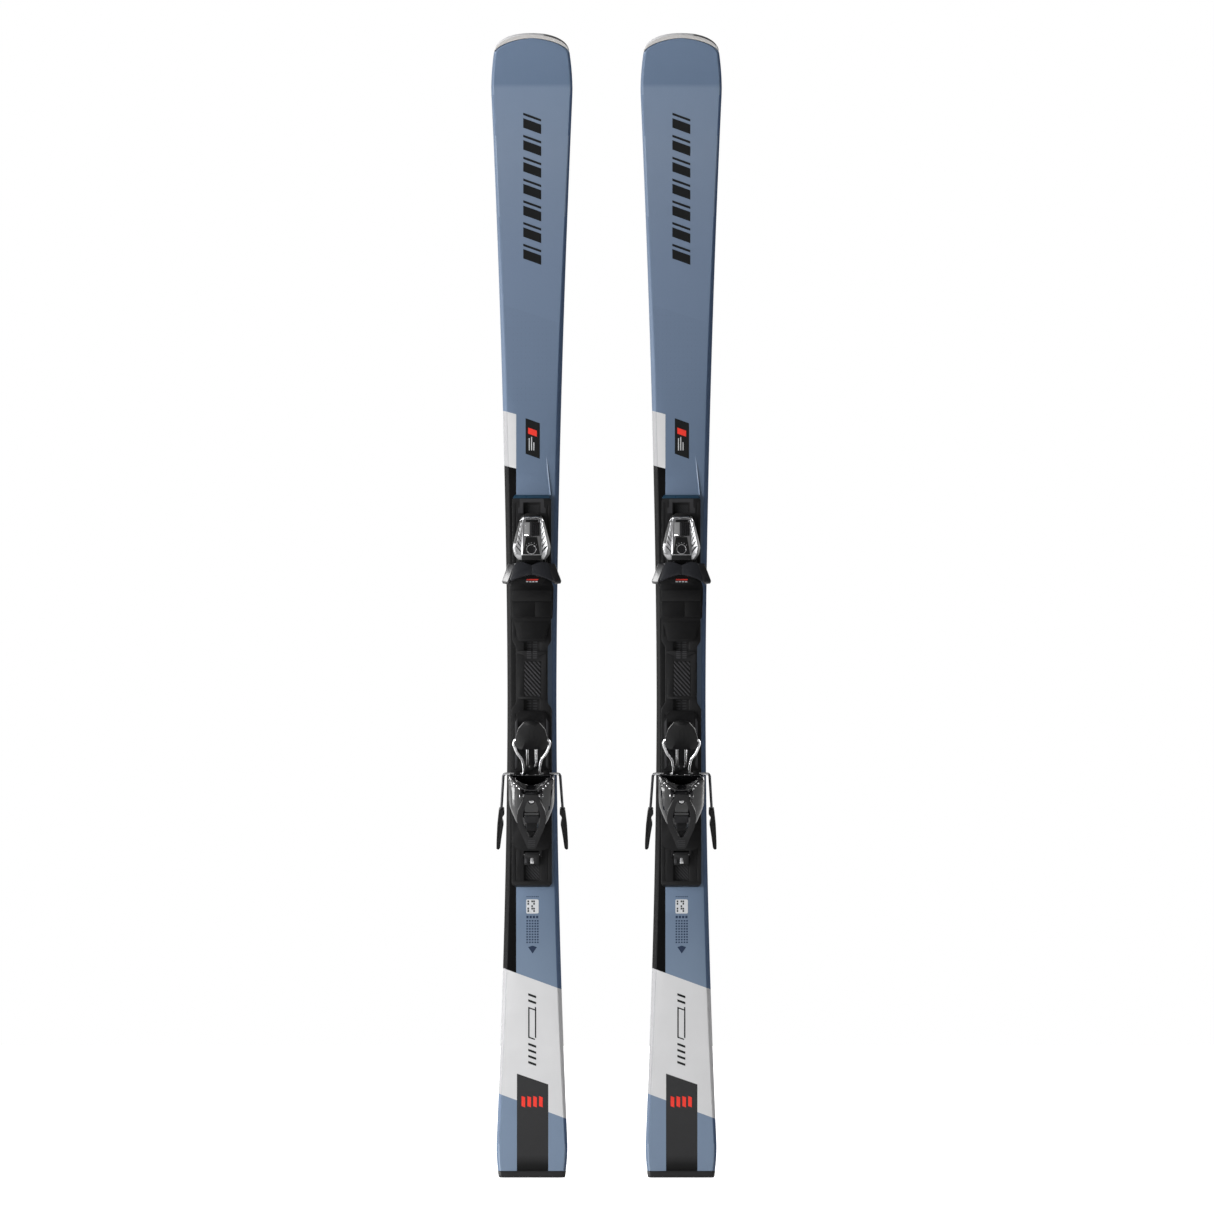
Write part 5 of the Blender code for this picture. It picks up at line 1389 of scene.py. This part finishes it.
def build_cup_fittings():
    """The lever's lugs, the pad and tongue on the cup's back, its rivets and its screw."""
    opened = about(CUP_AXIS, CUP_OPEN)
    axle_z, axle_h = cup(0, 0)
    lever_z, lever_h = cup(LEVER_AHEAD, LEVER_ABOVE)
    for side, word in SIDES:
        ear = [(lever_z - 0.006, lever_h - 0.009), (lever_z + 0.006, lever_h - 0.009)]
        ear += arc((lever_z, lever_h), 0.0055, 0, 180, 14)
        lug = slab(ear, *sorted((side * 0.0128, side * 0.0168)), "zh")
        lug = carved(lug, cross_rod(0.0028, 0.03, lever_h, lever_z))
        fit(f"lever_lug_{word}", soften(lug, 0.0006), GLOSS, "heel_cup", turn=opened)
    plan = [(-0.0105, -0.0265), (0.0105, -0.0265), (0.0105, -0.0145), (-0.0105, -0.0145)]
    pad = turned_corners([(x, axle_z + d) for x, d in plan], 0.0012)
    pad = slab(pad, axle_h + 0.032, axle_h + 0.0366)
    fit("cup_pad", soften(pad, 0.0008, 3), GREY, "heel_cup", turn=opened)
    tongue = [cup(*p) for p in ((-0.0275, 0.031), (-0.0275, 0.0348), (-0.047, 0.0298), (-0.047, 0.027))]
    tongue = soften(slab(tongue, -0.0078, 0.0078, "zh"), 0.0008)
    fit("cup_tongue", tongue, LEVER, "heel_cup", turn=opened)
    beads = []
    for side in (-1, 1):
        for x, d, r in CUP_RIVETS:
            z, h = cup(d, r)
            profile = [(0.0014, h - 0.002), (0.0014, h + 0.0005), (0.0008, h + 0.001)]
            beads.append(lathe(profile, side * x, z, 16))
    fit("cup_rivets", gathered(beads), CHROME, "heel_cup", turn=opened)
    head = screw_head(0.0042, axle_h + 0.0304, axle_h + 0.035, axle_z + 0.012, "slot")
    fit("heel_screw", head, CHROME, "heel_screw", opened)


def build_lever():
    """The ring-shaped opening lever, its bar and its grip, at the slope that it has at rest."""
    lever_z, lever_h = cup(LEVER_AHEAD, LEVER_ABOVE)
    outer = [(0.0105, 0.004), (0.0118, -0.004), (0.0205, -0.024), (0.0218, -0.036), (0.02, -0.05)]
    outer += [(0.012, -0.07), (0.0075, -0.083), (0.0055, -0.087)]
    inner = [(0.006, -0.006), (0.0118, -0.024), (0.0132, -0.036), (0.0118, -0.048), (0.003, -0.068)]
    low = lever_h - 0.001
    ring = turned_corners(mirrored([(x, lever_z + d) for x, d in outer]), 0.007, 5)
    window = turned_corners(mirrored([(x, lever_z + d) for x, d in inner]), 0.004, 5)
    lever = soften(slab(ring, low, low + 0.006, holes=[window]), 0.0018, 3, 50)
    bar = cross_rod(0.0025, 0.0176, lever_h, lever_z)
    centre, cup_centre = at(0, lever_h, lever_z), at(0, *CUP_AXIS)
    swing = Matrix.Rotation(math.radians(CUP_OPEN), 4, "X")
    open_place = cup_centre + swing @ (centre - cup_centre)
    slope = Matrix.Rotation(math.radians(LEVER_SLOPE), 4, "X")
    turn = Matrix.Translation(open_place) @ slope @ Matrix.Translation(-centre)
    fit("heel_lever", lever, LEVER, "heel_lever", turn)
    fit("lever_bar", bar, CHROME, "heel_lever", turn=turn)
    bars = []
    for d in (0.0725, 0.0755, 0.0785, 0.0815):
        bars.append(box((-0.0055, 0.0055), (low + 0.0054, low + 0.0064), (lever_z - d - 0.0012, lever_z - d)))
    fit("lever_grip", gathered(bars), GREY, "heel_lever", turn=turn)


def build_latch():
    """The track latch at the plate's end, with its tongue and bar."""
    profile = [(0.4845, 0.03), (0.4845, 0.0335), (0.48, 0.0348), (0.47, 0.0325), (0.466, 0.0335)]
    profile += [(0.466, 0.0312), (0.47, 0.0276), (0.481, 0.0276)]
    latch = slab(profile, -0.011, 0.011, "zh")
    window = box((-0.003, 0.0024), (0.0318, 0.04), (0.468, 0.4765))
    latch = carved(latch, cross_rod(0.0016, 0.02, *LATCH_AXIS), window)
    fit("track_latch", soften(latch, 0.0005, 2, 40), LEVER, "track_latch")
    tongue = box((-0.002, 0.0033), (0.0312, 0.033), (0.4664, 0.4768))
    fit("latch_tongue", soften(tongue, 0.0004), STEEL, "track_latch")
    bar = box((-0.0104, -0.0062), (0.0318, 0.0337), (0.4684, 0.477))
    fit("latch_bar", soften(bar, 0.0005), GREY, "track_latch")


# ---------------------------------------------------------------- light, floor and camera


def area_light(name, place, target, size, watts):
    data = bpy.data.lights.new(name, "AREA")
    data.shape = "RECTANGLE"
    data.size, data.size_y = size
    data.energy = watts
    lamp = spawn(name, data)
    lamp.location = place
    lamp.visible_camera = False
    lamp.rotation_euler = (Vector(target) - Vector(place)).to_track_quat("-Z", "Z").to_euler()


def build_studio():
    """A world that the camera sees as white and that lights the left more than the right, and four lamps."""
    world = bpy.data.worlds.new("studio")
    SCENE.world = world
    world.use_nodes = True
    nodes, links = world.node_tree.nodes, world.node_tree.links
    sky = nodes["Background"]
    where = nodes.new("ShaderNodeTexCoord")
    parts = nodes.new("ShaderNodeSeparateXYZ")
    ramp = nodes.new("ShaderNodeMapRange")
    rays = nodes.new("ShaderNodeLightPath")
    seen = nodes.new("ShaderNodeBackground")
    chosen = nodes.new("ShaderNodeMixShader")
    ramp.inputs["From Min"].default_value = -1.0
    ramp.inputs["From Max"].default_value = 1.0
    ramp.inputs["To Min"].default_value = 0.3
    ramp.inputs["To Max"].default_value = 0.1
    links.new(where.outputs["Generated"], parts.inputs["Vector"])
    links.new(parts.outputs["X"], ramp.inputs["Value"])
    links.new(ramp.outputs["Result"], sky.inputs["Strength"])
    links.new(rays.outputs["Is Camera Ray"], chosen.inputs["Fac"])
    links.new(sky.outputs["Background"], chosen.inputs[1])
    links.new(seen.outputs["Background"], chosen.inputs[2])
    links.new(chosen.outputs["Shader"], nodes["World Output"].inputs["Surface"])
    sky.inputs["Color"].default_value = (1.0, 1.0, 1.0, 1.0)
    seen.inputs["Color"].default_value = (1.0, 1.0, 1.0, 1.0)
    seen.inputs["Strength"].default_value = 1.0
    middle = (0.0, 0.0, 0.85)
    area_light("key", (-4.0, -2.2, 1.2), middle, (2.2, 3.0), 290)
    area_light("low", (-0.95, -0.15, 0.04), (-0.1, -0.06, 0.58), (0.5, 0.6), 7)
    area_light("back", (-2.6, 3.4, 1.8), middle, (2.0, 2.4), 70)
    area_light("side", (3.6, 3.0, 1.6), middle, (2.2, 2.6), 150)


def build_floor():
    bm = bmesh.new()
    bmesh.ops.create_grid(bm, x_segments=1, y_segments=1, size=3.0)
    mesh = bpy.data.meshes.new("floor")
    bm.to_mesh(mesh)
    bm.free()
    floor = spawn("floor", mesh)
    floor.location.z = -0.0005
    made = Finish("floor_paper", 0.9, specular=0.1).colour((0.9, 0.9, 0.9, 1.0), 0.01, 3.0)
    made.shader.inputs["Emission Color"].default_value = (1.0, 1.0, 1.0, 1.0)
    rays = made.node("ShaderNodeLightPath")
    made.link(rays.outputs["Is Camera Ray"], made.shader.inputs["Emission Strength"])
    mesh.materials.append(made.made)


def build_camera():
    """A long lens straight from the front."""
    data = bpy.data.cameras.new("camera")
    data.lens, data.sensor_width = 200.0, 36.0
    camera = spawn("camera", data)
    camera.location = (0.0007, -10.05, 0.849)
    camera.rotation_euler = (math.radians(90), 0, 0)
    SCENE.camera = camera
    SCENE.view_settings.view_transform = "Standard"


# ---------------------------------------------------------------- assembly

build_base()
build_core()
for side, word in SIDES:
    fit(f"edge_{word}", side_strip(side, edge_section), EDGE, "", crisp=20)
    fit(f"sidewall_{word}", side_strip(side, wall_section), WALL, "", crisp=20)
build_topsheet()
build_guards()
build_graphics()
build_spine_crease()
build_plate()
build_cover()
build_toe_base()
build_toe_housing()
build_toe_ridge()
build_toe_window()
toe_screw = screw_head(0.0062, 0.0675, 0.0722, SCREW_Z, "cross")
fit("toe_screw", toe_screw, DARK, "toe_screw")
build_wings()
build_pad()
build_brake()
build_heel_base()
build_heel_cup()
build_cup_fittings()
build_lever()
build_latch()
for ski in SKI_X:
    for spring in ("toe_spring", "heel_spring"):
        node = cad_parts[f"{ski}_{spring}"]
        for i in range(len(node.material_slots)):
            node.material_slots[i].material = SPRING
build_studio()
build_floor()
build_camera()
